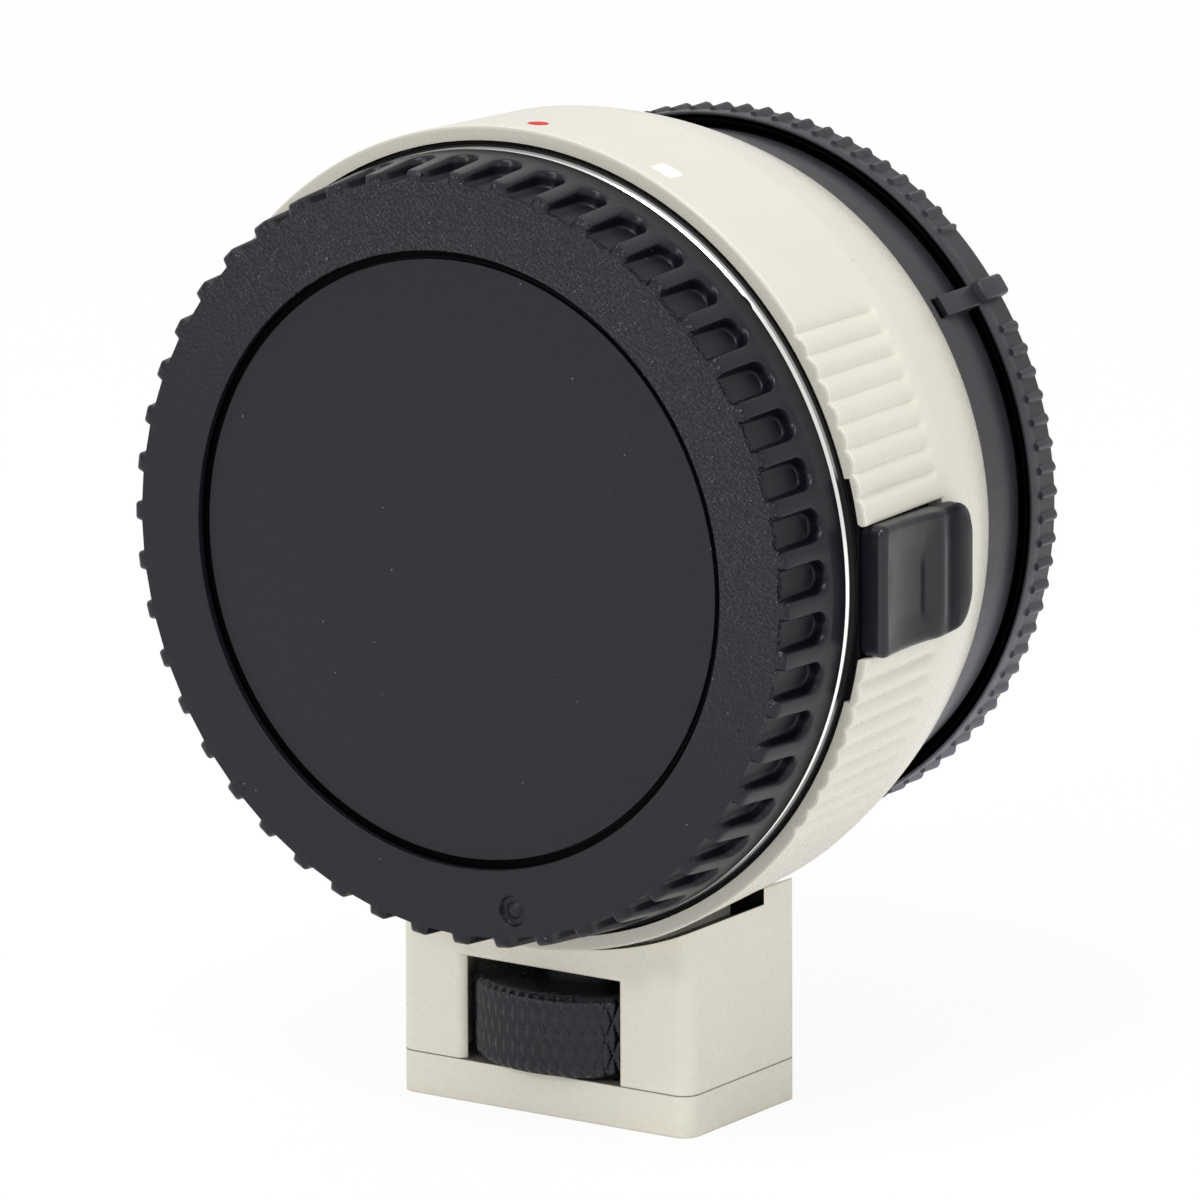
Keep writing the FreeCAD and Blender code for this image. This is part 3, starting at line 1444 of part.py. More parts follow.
for item in doc.Objects:
    if "Invalid" in item.State or "Error" in item.State:
        raise RuntimeError("failed: " + item.Name)
for part in PARTS:
    if part.Shape.isNull() or not part.Shape.isValid():
        raise RuntimeError("bad shape: " + part.Label)
os.makedirs("parts", exist_ok=True)
for part in PARTS:
    part.Shape.exportStep(f"parts/{part.Label}.step")
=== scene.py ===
import json
import math

import bmesh
import bpy
import numpy as np
from mathutils import Matrix, Vector


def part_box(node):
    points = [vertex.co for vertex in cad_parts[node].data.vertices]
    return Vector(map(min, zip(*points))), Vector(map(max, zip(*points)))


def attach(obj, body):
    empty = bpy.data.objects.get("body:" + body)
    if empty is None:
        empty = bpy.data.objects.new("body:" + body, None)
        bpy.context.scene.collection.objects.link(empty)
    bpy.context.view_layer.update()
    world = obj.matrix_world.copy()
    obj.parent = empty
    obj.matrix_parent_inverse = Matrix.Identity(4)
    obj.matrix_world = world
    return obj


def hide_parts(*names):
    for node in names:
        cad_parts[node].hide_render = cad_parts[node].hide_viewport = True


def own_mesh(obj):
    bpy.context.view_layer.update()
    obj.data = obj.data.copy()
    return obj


# Looks of a lens mount adapter. Sizes are in millimetres in the part's own frame:
# X to the release lever, Y along the optical axis to the camera, Z up.
# Angles are in degrees, from +X to +Z.

MM = 0.001
IVORY = (0.70, 0.672, 0.583)
AXIS_GAP = 0.02

# Lens-side ring

RING_RADIUS = 32.5
RING_LINE_INNER = 30.0
RING_LINE = RING_RADIUS - 0.55
RING_CHAMFER = RING_RADIUS - 0.36
RING_SHADOW = RING_RADIUS - 0.22
RING_FACE_END = 0.9

# Barrel

RIM_INNER = RING_RADIUS + 0.34
RIM_EDGE = 0.32
RIM_OUTER = RING_RADIUS + 1.56
RIM_SHADE = 0.09
BARREL_FRONT = 0.45
BARREL_REAR = 24.44
BARREL_REAR_RADIUS = 29.82
BARREL_EDGE = 0.12
BARREL_BORE = 31.9
REAR_BORE = 28.4
RIM_END = BARREL_FRONT + 4.15
REAR_LIP = 22.6
CREASE_RADIUS = RING_RADIUS + 0.8
CREASE_PLACE = 13.9
SHOULDER_RADIUS = 44.0
NOTCH_ANGLE = 16.1
NOTCH_RADIUS = RING_RADIUS + 0.8
GRIP_FIRST = 13.1
GRIP_PITCH = 3.44
GRIP_COUNT = 8
GRIP_RADIUS = 33.7
GRIP_END = 12.2
GRIP_HALF = 0.98
GRIP_FADE = 1.0
GRIP_DEPTH = 0.36
SLOT_HALF = 5.5
SLOT_END = 12.7
SLOT_TAPER = 0.012
SLOT_SIDE_END = 11.9
MARK_PLACE = 3.6
MARK_LIFT = 0.012
RED_RADIUS = 0.87
WHITE_SIDE = 2.1
WHITE_ANGLE = 68.3
WHITE_CORNER = 0.4

# Release lever and springs

LEVER_HALF = 5.45
LEVER_FRONT = 0.95
LEVER_REAR = 15.3
LEVER_CORNER = 3.0
LEVER_FRONT_CORNER = 0.8
LEVER_EDGE = 0.55
LEVER_FLOOR = 32.8
LEVER_OVERHANG = 9.9
LEVER_OVERHANG_FLOOR = 33.5
LEVER_TAPER = 0.023
STEM_LOW = (28.9, 5.6, -3.6)
STEM_HIGH = (33.2, 9.8, 3.6)
CREASE_ALONG = (7.05, 7.5)
CREASE_ACROSS = (-3.1, 1.7)
DULL_SLOPE = (8.9, 10.4)
SPRING_WIRE = 0.35
SPRING_TURNS = 7

# Lens-side cap

CAP_FACE = -8.4
CAP_DISC = -7.9
CAP_DISC_RADIUS = 24.68
CAP_GROOVE_RADIUS = 25.42
CAP_GROOVE_FLOOR = -7.3
CAP_SHOULDER = 31.0
CAP_TOOTH = 31.95
CAP_RADIUS = 32.3
CAP_BEVEL = 0.3
CAP_FACE_EDGE = 30.3
LAND_ROUND = 0.7
CAP_REAR = -0.2
NOTCH_COUNT = 48
NOTCH_FIRST = 3.71
NOTCH_HALF = 1.25
NOTCH_FLARE = 0.35
NOTCH_FLARE_LONG = 0.52
NOTCH_END = -3.0
LAND_END = -2.3
DIMPLE = (5.29, -28.32)
DIMPLE_RADIUS = 1.25
DIMPLE_DEPTH = 0.4
DOME_RADIUS = 0.9
WORN_BELOW = -8.0
FRESH_ABOVE = 18.0
PIN_ROOM_OUTER = 31.75
PIN_ROOM_FLOOR = -2.2
CAP_HOLLOW_OUTER = 29.9
CAP_HOLLOW_INNER = 28.4
CAP_HOLLOW_FLOOR = -7.0
CAP_TUBE_OUTER = 26.9
CAP_TUBE_INNER = 25.4
CAP_TUBE_END = 3.9
CAP_FLOOR = -6.3
CAP_TAB_RADIUS = 28.7
CAP_TAB_FRONT = 2.35
CAP_TAB_FIRST = 30.0
CAP_TAB_HALF = 25.0
CAP_TAB_COUNT = 3

# Camera-side cap

SKIRT_FRONT = 24.55
SKIRT_REAR = 30.97
SKIRT_INNER = 28.45
SKIRT_FRONT_RADIUS = 29.6
SKIRT_REAR_RADIUS = 28.42
MOAT_FLOOR = 32.57
MOAT_OUTER = 29.46
RIDGE_INNER = 28.95
RIDGE_OUTER = 29.13
LIP_PLACE = 31.12
LIP_RADIUS = 29.7
RIB_BASE = 29.5
RIB_PLACE = 29.58
RIB_ROUND = 0.38
RIB_FIRST = 47.8
RIB_SPAN = 341.6
RIB_COUNT = 89
RIB_FRONT = 32.4
RIB_REAR = 34.8
REAR_FACE = 35.0
REAR_FACE_RADIUS = 29.3
KEY_ANGLE = 36.0
KEY_HALF = 0.92
KEY_FRONT = 26.5
KEY_SLOT = 0.7

# Foot and wheel

WHEEL_PLACE = 11.85
WHEEL_RADIUS = 10.35
WHEEL_BEVEL = 0.42
WHEEL_BORE = 2.5
WHEEL_RECESS = 4.0
WHEEL_RECESS_DEPTH = 2.2
WHEEL_BOTTOM = -45.0
WHEEL_TOP = -38.2
KNURL_COUNT = 62
KNURL_PITCH = 2.9
KNURL_DEPTH = 0.26
FOOT_BOTTOM = -48.93
FOOT_SEAM = -45.41
SADDLE_RADIUS = RIM_OUTER + 0.54
SADDLE_STEP = 14.75

# View of the photograph

PHOTO_WIDE = 1200
FOCAL_PIXELS = 17283.2
SENSOR_WIDE = 36.0
CAMERA_PLACE = (766.9, -1120.9, 326.9)
CAMERA_YAW = 34.09
CAMERA_PITCH = 13.73
CAMERA_ROLL = -0.22


# Meshes


def place_object(name, data):
    piece = bpy.data.objects.new(name, data)
    bpy.context.scene.collection.objects.link(piece)
    return piece


def finish_mesh(name, mesh, material, body, node, sharp=35.0):
    """Object of a mesh, smooth but for edges over the sharp angle, riding on a body for a node."""
    work = bmesh.new()
    work.from_mesh(mesh)
    bmesh.ops.remove_doubles(work, verts=work.verts, dist=0.002 * MM)
    bmesh.ops.recalc_face_normals(work, faces=work.faces)
    work.to_mesh(mesh)
    work.free()
    mesh.materials.append(material)
    mesh.polygons.foreach_set("use_smooth", [True] * len(mesh.polygons))
    mesh.set_sharp_from_angle(angle=math.radians(sharp))
    piece = place_object(name, mesh)
    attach(piece, body)
    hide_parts(node)
    return piece


def add_object(name, vertices, faces, material, body, node, sharp=35.0):
    """Object of points in millimetres and faces."""
    mesh = bpy.data.meshes.new(name)
    mesh.from_pydata((np.asarray(vertices, float) * MM).tolist(), [], faces)
    return finish_mesh(name, mesh, material, body, node, sharp)


def grid_faces(rows, columns, closed=True, first=0):
    """Quads of a grid of points; closed joins the last column to the first."""
    faces = []
    for i in range(rows - 1):
        for j in range(columns if closed else columns - 1):
            k = (j + 1) % columns
            low = first + i * columns
            faces.append((low + j, low + k, low + columns + k, low + columns + j))
    return faces


def add_rows(name, rows, material, body, node, sharp=35.0, closed=True):
    """Object of rows of points; closed joins the end of each row to its start."""
    faces = grid_faces(len(rows), len(rows[0]), closed)
    add_object(name, np.concatenate(rows), faces, material, body, node, sharp)


def ring(radius, angles, along):
    """Points about the optical axis."""
    turn = np.radians(angles)
    radius, along = np.broadcast_to(radius, turn.shape), np.broadcast_to(along, turn.shape)
    return np.stack([radius * np.cos(turn), along, radius * np.sin(turn)], axis=-1)


def ease(share):
    """A share between nought and one with soft ends."""
    return share * share * (3 - 2 * share)


def soften(profile, reach=0.12, steps=3):
    """A profile of (radius, along[, reach]) corners with its inner corners rounded."""
    points = [tuple(profile[0][:2])]
    for before, here, after in zip(profile, profile[1:], profile[2:]):
        a, b, c = (np.array(p[:2], float) for p in (before, here, after))
        size = here[2] if len(here) > 2 else reach
        size = min(size, np.linalg.norm(a - b) * 0.45, np.linalg.norm(c - b) * 0.45)
        start = b + (a - b) / np.linalg.norm(a - b) * size
        end = b + (c - b) / np.linalg.norm(c - b) * size
        for t in np.linspace(0, 1, steps + 1):
            points.append(tuple(start * (1 - t) ** 2 + b * 2 * t * (1 - t) + end * t * t))
    points.append(tuple(profile[-1][:2]))
    return points


def arc(start, end, radius, count):
    """Points of an arc between two points, turning left for a radius over 0."""
    a, b = np.array(start, float), np.array(end, float)
    chord = b - a
    half = np.linalg.norm(chord) / 2
    left = np.array([-chord[1], chord[0]]) / (2 * half)
    centre = (a + b) / 2 + left * math.copysign(math.sqrt(radius ** 2 - half ** 2), radius)
    first = math.atan2(*(a - centre)[::-1])
    sweep = 2 * math.asin(half / abs(radius)) * math.copysign(1, radius)
    turns = [first + sweep * t for t in np.linspace(0, 1, count + 1)]
    return [tuple(centre + abs(radius) * np.array([math.cos(t), math.sin(t)])) for t in turns]


def revolve(name, profile, material, body, node, columns, span=None):
    """Surface turned about the optical axis, all round or over a span of angles."""
    if span:
        angles = np.linspace(*span, columns)
    else:
        angles = np.arange(columns) * 360.0 / columns
    rows = [ring(r, angles, y) for r, y in profile]
    add_rows(name, rows, material, body, node, closed=not span)


def soft_box(name, low, high, corner, material, body, node, turn=0.0):
    """Block between two corners with rounded edges, turned about the optical axis."""
    mesh = bpy.data.meshes.new(name)
    work = bmesh.new()
    bmesh.ops.create_cube(work, size=1.0)
    low, high = np.array(low) * MM, np.array(high) * MM
    for vertex in work.verts:
        vertex.co = Vector((low + high) / 2 + np.array(vertex.co) * (high - low))
    bmesh.ops.bevel(work, geom=work.edges[:], offset=corner * MM, segments=3, profile=0.5, affect="EDGES")
    turning = Matrix.Rotation(math.radians(-turn), 3, "Y")
    bmesh.ops.rotate(work, verts=work.verts, cent=(0, 0, 0), matrix=turning)
    work.to_mesh(mesh)
    work.free()
    finish_mesh(name, mesh, material, body, node)


# Materials


def main_shader(material):
    return material.node_tree.nodes["Principled BSDF"]


def new_material(slot, color, roughness, metallic=0.0, specular=0.5):
    material = bpy.data.materials.new("look_" + slot)
    material.use_nodes = True
    use(material, "Base Color", color)
    use(material, "Roughness", roughness)
    use(material, "Metallic", metallic)
    use(material, "Specular IOR Level", specular)
    return material


def new_node(material, kind, **settings):
    node = material.node_tree.nodes.new(kind)
    for key, value in settings.items():
        setattr(node, key, value)
    return node


def feed(material, socket, value):
    """Puts a number, a colour or another node's output into a socket."""
    if isinstance(value, bpy.types.NodeSocket):
        material.node_tree.links.new(value, socket)
    elif isinstance(value, tuple):
        socket.default_value = (*value, 1.0)
    else:
        socket.default_value = value


def use(material, socket, value):
    feed(material, main_shader(material).inputs[socket], value)


def used_color(material):
    """The output that already feeds the shader's base colour."""
    return main_shader(material).inputs["Base Color"].links[0].from_socket


def dull_where(material, mask, plain, dull):
    """Sets how strongly the surface mirrors, from plain to dull where a mask is one."""
    use(material, "Specular IOR Level", remap(material, mask, 0.0, 1.0, plain, dull))


def mapped(material, kind, where=None):
    """New node that reads the object's own coordinates, or another place."""
    node = new_node(material, kind)
    where = where or new_node(material, "ShaderNodeTexCoord").outputs["Object"]
    feed(material, node.inputs["Vector"], where)
    return node


def noise(material, size, detail=3.0, where=None):
    """Noise whose features are about size millimetres."""
    node = mapped(material, "ShaderNodeTexNoise", where)
    node.inputs["Scale"].default_value = 1 / (size * MM)
    node.inputs["Detail"].default_value = detail
    return node.outputs["Fac"]


def cells(material, size):
    """Distance from the middle of cells that are about size millimetres across."""
    node = mapped(material, "ShaderNodeTexVoronoi")
    node.inputs["Scale"].default_value = 1 / (size * MM)
    return node.outputs["Distance"]


def remap(material, value, low, high, to_low=0.0, to_high=1.0):
    node = new_node(material, "ShaderNodeMapRange")
    for socket, number in (("Value", value), ("From Min", low), ("From Max", high),
                           ("To Min", to_low), ("To Max", to_high)):
        feed(material, node.inputs[socket], number)
    return node.outputs["Result"]


def uneven(material, size, detail=3.0, low=0.0, high=1.0):
    """Noise spread from low to high, with features of size millimetres."""
    return remap(material, noise(material, size, detail), 0.3, 0.7, low, high)


def combine(material, operation, first, second=0.0):
    node = new_node(material, "ShaderNodeMath", operation=operation)
    feed(material, node.inputs[0], first)
    feed(material, node.inputs[1], second)
    return node.outputs["Value"]


def times(material, first, second):
    """Product of two numbers or masks."""
    return combine(material, "MULTIPLY", first, second)


def either(material, first, second):
    """The larger of two masks."""
    return combine(material, "MAXIMUM", first, second)


def ramp(material, value, start, end):
    """Mask that goes from nought to one between two places in millimetres."""
    return remap(material, value, start * MM, end * MM)


def inside(material, value, low, high, edge=0.04):
    """Mask that is one between two places in millimetres and nought outside them."""
    rise = ramp(material, value, low - edge, low + edge)
    fall = ramp(material, value, high + edge, high - edge)
    return times(material, rise, fall)


def mix(material, factor, first, second):
    node = new_node(material, "ShaderNodeMix", data_type="RGBA")
    feed(material, node.inputs["Factor"], factor)
    feed(material, node.inputs[6], first)
    feed(material, node.inputs[7], second)
    return node.outputs[2]


def bump(material, height, distance, strength, edge=0.0):
    """Bumps of a height map, distance millimetres deep, over edges rounded by edge millimetres."""
    node = new_node(material, "ShaderNodeBump")
    node.inputs["Distance"].default_value = distance * MM
    node.inputs["Strength"].default_value = strength
    feed(material, node.inputs["Height"], height)
    if edge:
        rounding = new_node(material, "ShaderNodeBevel", samples=6)
        rounding.inputs["Radius"].default_value = edge * MM
        feed(material, node.inputs["Normal"], rounding.outputs["Normal"])
    return node.outputs["Normal"]


def split(material):
    """The three coordinates, in metres."""
    return mapped(material, "ShaderNodeSeparateXYZ").outputs


def axis_distance(material):
    """Distance from the optical axis, in metres."""
    place = split(material)
    squares = combine(material, "ADD", times(material, place["X"], place["X"]),
                      times(material, place["Z"], place["Z"]))
    return combine(material, "SQRT", squares)


def lever_side(material):
    """Mask of the half that the release lever stands on."""
    return ramp(material, split(material)["X"], 0.0, 1.0)


def shade(color, factor):
    return tuple(min(1.0, c * factor) for c in color)


def dusted(material, plain, dust, spacing, size, patch, rarity):
    """A colour with a few specks: size is a share of their spacing, and they gather in patches."""
    speck = remap(material, cells(material, spacing), size, size + 0.02, 1.0, 0.0)
    rare = remap(material, noise(material, patch, 1.0), rarity, rarity + 0.04, 0.0, 0.5)
    return mix(material, times(material, speck, rare), plain, dust)


def paint(slot, edge=0.0):
    """Sprayed ivory satin paint with a fine orange peel, painted shade on the front rim and faint dust."""
    roughness = 0.28
    material = new_material(slot, IVORY, roughness)
    mottling = remap(material, noise(material, 6.0, 4.0), 0.35, 0.65)
    mottled = mix(material, mottling, IVORY, shade(IVORY, 0.98))
    dusty = dusted(material, mottled, (0.20, 0.15, 0.09), 2.4, 0.03, 7.0, 0.58)
    # Painted shade: the front rim's face is a darker ivory.
    shaded = BARREL_FRONT + RIM_SHADE
    rim = ramp(material, split(material)["Y"], shaded + 0.08, shaded)
    use(material, "Base Color", mix(material, rim, dusty, shade(IVORY, 0.70)))
    use(material, "Roughness", uneven(material, 0.7, 3.0, roughness - 0.03, roughness + 0.04))
    use(material, "Normal", bump(material, noise(material, 0.3, 2.0), 0.002, 0.2, edge))
    return material


def foot_paint(slot):
    """The same paint on the foot, with painted shade along its seam and in the gap below the barrel."""
    material = paint(slot, edge=0.25)
    # Painted shade: a dark line along the seam between housing and plate, and near-black on the saddle under
    # the barrel, both barely reflecting.
    seam = inside(material, split(material)["Z"], FOOT_SEAM - 0.05, FOOT_SEAM + 0.05, 0.03)
    near = ramp(material, axis_distance(material), SADDLE_RADIUS + 0.07, SADDLE_RADIUS + 0.03)
    ahead = ramp(material, split(material)["Y"], SADDLE_STEP + 0.04, SADDLE_STEP + 0.02)
    dark = either(material, times(material, seam, 0.75), times(material, near, ahead))
    use(material, "Base Color", mix(material, dark, used_color(material), (0.006, 0.006, 0.006)))
    dull_where(material, dark, 0.5, 0.02)
    return material


def mark_paint(slot, color):
    """Flat paint of an index mark."""
    material = new_material(slot, color, 0.45, specular=0.12)
    use(material, "Normal", bump(material, noise(material, 0.3, 2.0), 0.003, 0.3))
    return material


def plastic(slot, color, roughness, grain=0.25, depth=0.012, spread=0.05, edge=0.08, specular=0.5):
    """Moulded plastic with a fine grain and slightly uneven gloss."""
    material = new_material(slot, color, roughness, specular=specular)
    tint = uneven(material, 2.5, 5.0)
    use(material, "Base Color", mix(material, tint, shade(color, 0.9), shade(color, 1.2)))
    use(material, "Roughness", uneven(material, 1.1, 4.0, roughness - spread, roughness + spread))
    use(material, "Normal", bump(material, noise(material, grain, 2.0), depth, 0.5, edge))
    return material


def metal(slot, color, roughness):
    """Plain metal with fine scratches and smudges."""
    material = new_material(slot, color, roughness, metallic=1.0)
    smudge = uneven(material, 1.5, 4.0)
    use(material, "Base Color", mix(material, smudge, shade(color, 0.9), color))
    use(material, "Roughness", remap(material, smudge, 0.0, 1.0, roughness * 0.75, roughness * 1.3))
    use(material, "Normal", bump(material, noise(material, 0.2, 3.0), 0.004, 0.5))
    return material


def lathe_lines(material):
    """Height map of fine circular lines about the optical axis."""
    join = new_node(material, "ShaderNodeCombineXYZ")
    feed(material, join.inputs["X"], axis_distance(material))
    feed(material, join.inputs["Y"], split(material)["Y"])
    return noise(material, 0.07, 2.0, join.outputs["Vector"])


def mount_metal(slot):
    """Steel of the bayonet rings. On the lens-side ring's face a darker grey inside a narrow bright line
    makes a painted highlight; the chamfer beyond is dull grey, with painted shadow at its outer edge and
    beside the lever.
    """
    bright, dull, shadow = (0.88, 0.88, 0.87), (0.26, 0.255, 0.24), (0.008, 0.008, 0.008)
    material = new_material(slot, bright, 0.2, metallic=1.0)
    distance = axis_distance(material)
    ahead = ramp(material, split(material)["Y"], RING_FACE_END, RING_FACE_END - 0.1)
    satin = times(material, ramp(material, distance, RING_CHAMFER, RING_CHAMFER + 0.04), ahead)
    # Painted highlight: the face inside the line is toned to grey, so only a narrow bright line of steel
    # shows.
    face_inside_line = times(material, inside(material, distance, RING_LINE_INNER, RING_LINE, 0.02), ahead)
    # Painted shadow: near-black at the chamfer's outer edge and beside the lever.
    outer = times(material, ramp(material, distance, RING_SHADOW, RING_SHADOW + 0.06), ahead)
    half = RIM_OUTER * math.sin(math.radians(NOTCH_ANGLE))
    beside = times(material, inside(material, split(material)["Z"], -half, half, 0.6), lever_side(material))
    face = mix(material, face_inside_line, bright, (0.40, 0.40, 0.39))
    band = mix(material, either(material, beside, outer), dull, shadow)
    use(material, "Base Color", mix(material, satin, face, band))
    use(material, "Metallic", remap(material, satin, 0.0, 1.0, 1.0, 0.15))
    dull_where(material, satin, 0.5, 0.15)
    use(material, "Roughness", remap(material, satin, 0.0, 1.0, 0.2, 0.55))
    use(material, "Normal", bump(material, lathe_lines(material), 0.004, 0.6))
    return material


def cap_leather(material):
    """Mask of the leather grain round the lens-side cap's disc, which is worn away below."""
    beyond = ramp(material, axis_distance(material), CAP_GROOVE_RADIUS - 0.12, CAP_GROOVE_RADIUS + 0.08)
    place = split(material)
    ahead = ramp(material, place["Y"], CAP_FACE + 0.65, CAP_FACE + 0.25)
    height = combine(material, "ADD", place["Z"], times(material, place["X"], 0.5))
    fresh = ramp(material, height, WORN_BELOW, FRESH_ABOVE)
    return times(material, times(material, beyond, ahead), fresh)


def front_cap_plastic(slot):
    """Lens-side cap: smooth disc, coarse leather grain round it, satin flank, with painted shade in the
    groove round the disc and on the notch walls.
    """
    color, specular = (0.0042, 0.0042, 0.0085), 0.33
    material = new_material(slot, color, 0.5, specular=specular)
    distance = axis_distance(material)
    along = split(material)["Y"]
    leather = cap_leather(material)
    swell = uneven(material, 0.9, 2.0, 0.5, 1.3)
    coarse = times(material, times(material, cells(material, 0.32), swell), leather)
    grain = combine(material, "ADD", coarse, times(material, noise(material, 0.14, 2.0), 0.05))
    use(material, "Normal", bump(material, grain, 0.20, 0.9))
    flank = ramp(material, distance, CAP_SHOULDER, CAP_SHOULDER + 0.3)
    face_gloss = remap(material, leather, 0.0, 1.0, 0.46, 0.22)
    use(material, "Roughness", remap(material, flank, 0.0, 1.0, face_gloss, 0.32))
    plain = mix(material, uneven(material, 0.4), shade(color, 0.85), shade(color, 1.25))
    dusty = dusted(material, plain, (0.35, 0.34, 0.32), 1.7, 0.025, 5.0, 0.54)
    # Painted shade: the groove round the disc is near-black and barely reflects; the notch walls lose most
    # of their reflection.
    groove = times(material, inside(material, distance, CAP_DISC_RADIUS + 0.04, CAP_GROOVE_RADIUS + 0.05),
                   ramp(material, along, CAP_DISC + 0.05, CAP_DISC + 0.15))
    wall = times(material, inside(material, distance, CAP_SHOULDER + 0.14, CAP_TOOTH - 0.2, 0.07),
                 ramp(material, along, CAP_FACE + 0.9, CAP_FACE + 1.6))
    use(material, "Base Color", mix(material, groove, dusty, (0.001, 0.001, 0.001)))
    dull = either(material, groove, times(material, wall, 0.8))
    dull_where(material, dull, specular, 0.03)
    return material


def lever_plastic(slot):
    """Glossy black of the release lever, with painted shade on its rear slope and in the crease of its dish,
    where it barely reflects.
    """
    material = plastic(slot, (0.003, 0.003, 0.007), 0.24, grain=0.18, depth=0.004, spread=0.03)
    place = split(material)
    # Painted shade: the crease of the dish and the rear slope barely reflect.
    crease = times(material, inside(material, place["Y"], *CREASE_ALONG, 0.25),
                   inside(material, place["Z"], *CREASE_ACROSS, 0.7))
    dull = either(material, crease, ramp(material, place["Y"], *DULL_SLOPE))
    dull_where(material, dull, 0.5, 0.04)
    return material


def key_slot(material):
    """Mask of painted shade on a short strip of the camera-side cap's skirt in front of its key, where a
    slot would lie in shade.
    """
    place = split(material)
    turn = math.radians(KEY_ANGLE)
    across = combine(material, "SUBTRACT", times(material, place["Z"], math.cos(turn)),
                     times(material, place["X"], math.sin(turn)))
    slot = times(material, inside(material, across, -KEY_HALF, KEY_HALF),
                 inside(material, place["Y"], KEY_FRONT - KEY_SLOT, KEY_FRONT))
    return times(material, slot, lever_side(material))


def rear_cap_plastic(slot):
    """Camera-side cap: bluish grey satin plastic, with painted shade in its moat and in front of its key,
    and painted light making it paler towards the bottom.
    """
    material = plastic(slot, (0.022, 0.022, 0.028), 0.42, grain=0.2)
    distance = axis_distance(material)
    place = split(material)
    # Painted shade: the moat is near-black.
    moat = times(material, ramp(material, distance, MOAT_OUTER + 0.04, MOAT_OUTER - 0.02),
                 inside(material, place["Y"], SKIRT_REAR + 0.04, MOAT_FLOOR + 0.43, 0.02))
    # Painted light: the outside of the cap is paler towards the bottom.
    low = times(material, ramp(material, place["Z"], -4.0, -24.0),
                ramp(material, distance, SKIRT_REAR_RADIUS - 0.52, SKIRT_REAR_RADIUS - 0.02))
    plain = mix(material, low, used_color(material), (0.12, 0.12, 0.15))
    # Painted shade in the moat and in front of the key, near-black and barely reflecting.
    dark = either(material, moat, key_slot(material))
    use(material, "Base Color", mix(material, dark, plain, (0.001, 0.001, 0.001)))
    dull_where(material, dark, 0.5, 0.03)
    return material


def board_material(slot):
    """Green board with paler copper tracks under its lacquer."""
    material = new_material(slot, (0.02, 0.10, 0.05), 0.35)
    node = mapped(material, "ShaderNodeTexBrick")
    node.inputs["Scale"].default_value = 260.0
    feed(material, node.inputs["Color1"], (0.02, 0.11, 0.05))
    feed(material, node.inputs["Color2"], (0.025, 0.13, 0.06))
    feed(material, node.inputs["Mortar"], (0.06, 0.22, 0.11))
    use(material, "Base Color", node.outputs["Color"])
    use(material, "Roughness", uneven(material, 1.0, 3.0, 0.28, 0.42))
    return material


def make_materials():
    """Every material by its slot."""
    made = [
        paint("ivory_paint"),
        foot_paint("foot_paint"),
        plastic("black_shell", (0.002, 0.002, 0.003), 0.45, specular=0.15),
        front_cap_plastic("cap_plastic"),
        rear_cap_plastic("rear_cap_plastic"),
        mount_metal("mount_steel"),
        lever_plastic("lever_plastic"),
        metal("screw_steel", (0.62, 0.62, 0.63), 0.3),
        metal("spring_steel", (0.68, 0.68, 0.70), 0.2),
        metal("contact_gold", (0.90, 0.66, 0.26), 0.18),
        plastic("contact_plastic", (0.02, 0.02, 0.02), 0.45),
        board_material("board_laminate"),
        plastic("chip_plastic", (0.015, 0.015, 0.016), 0.5, grain=0.1),
        plastic("flex_film", (0.42, 0.20, 0.04), 0.3, grain=0.6),
        plastic("wheel_metal", (0.004, 0.004, 0.009), 0.30, grain=0.15, depth=0.008, edge=0.0,
                specular=0.42),
        metal("bush_brass", (0.75, 0.58, 0.28), 0.25),
        mark_paint("red_paint", (0.62, 0.004, 0.015)),
        mark_paint("white_paint", (0.92, 0.92, 0.89)),
    ]
    return {material.name.removeprefix("look_"): material for material in made}


# Lens-side cap


def land_radius(along):
    """Radius of the cap's outside between its notches."""
    turns = np.radians(np.linspace(0, 90, 9))
    places = list(CAP_FACE + LAND_ROUND * (1 - np.cos(turns)))
    radii = list(CAP_TOOTH - LAND_ROUND * (1 - np.sin(turns)))
    places += [NOTCH_END, CAP_REAR - 0.7, CAP_REAR - 0.25, CAP_REAR]
    radii += [CAP_RADIUS, CAP_RADIUS, CAP_RADIUS - 0.03, CAP_RADIUS - CAP_BEVEL]
    return np.interp(along, places, radii)


def notch_side():
    """Half outline of a notch: place, outward direction and the matching place on the land's middle line."""
    rows = []
    end = NOTCH_END - NOTCH_HALF
    for drop in (0.0, 0.06, 0.14, 0.24, 0.36, NOTCH_FLARE_LONG, 0.9, 1.8, 2.8, end - CAP_FACE):
        flare = NOTCH_FLARE * max(0.0, 1 - drop / NOTCH_FLARE_LONG) ** 2
        rows.append((NOTCH_HALF + flare, CAP_FACE + drop, 1.0, 0.0, 1.0, CAP_FACE + drop))
    corner = 41.4
    for turn in (10.0, 21.0, 31.0, corner, 50.0, 60.0, 70.0, 80.0, 90.0):
        across, forward = math.cos(math.radians(turn)), math.sin(math.radians(turn))
        share = 1.0 if turn <= corner else across / math.cos(math.radians(corner))
        edge = end + (LAND_END - end) * min(1.0, turn / corner)
        rows.append((NOTCH_HALF * across, end + NOTCH_HALF * forward, across, forward, share, edge))
    return rows


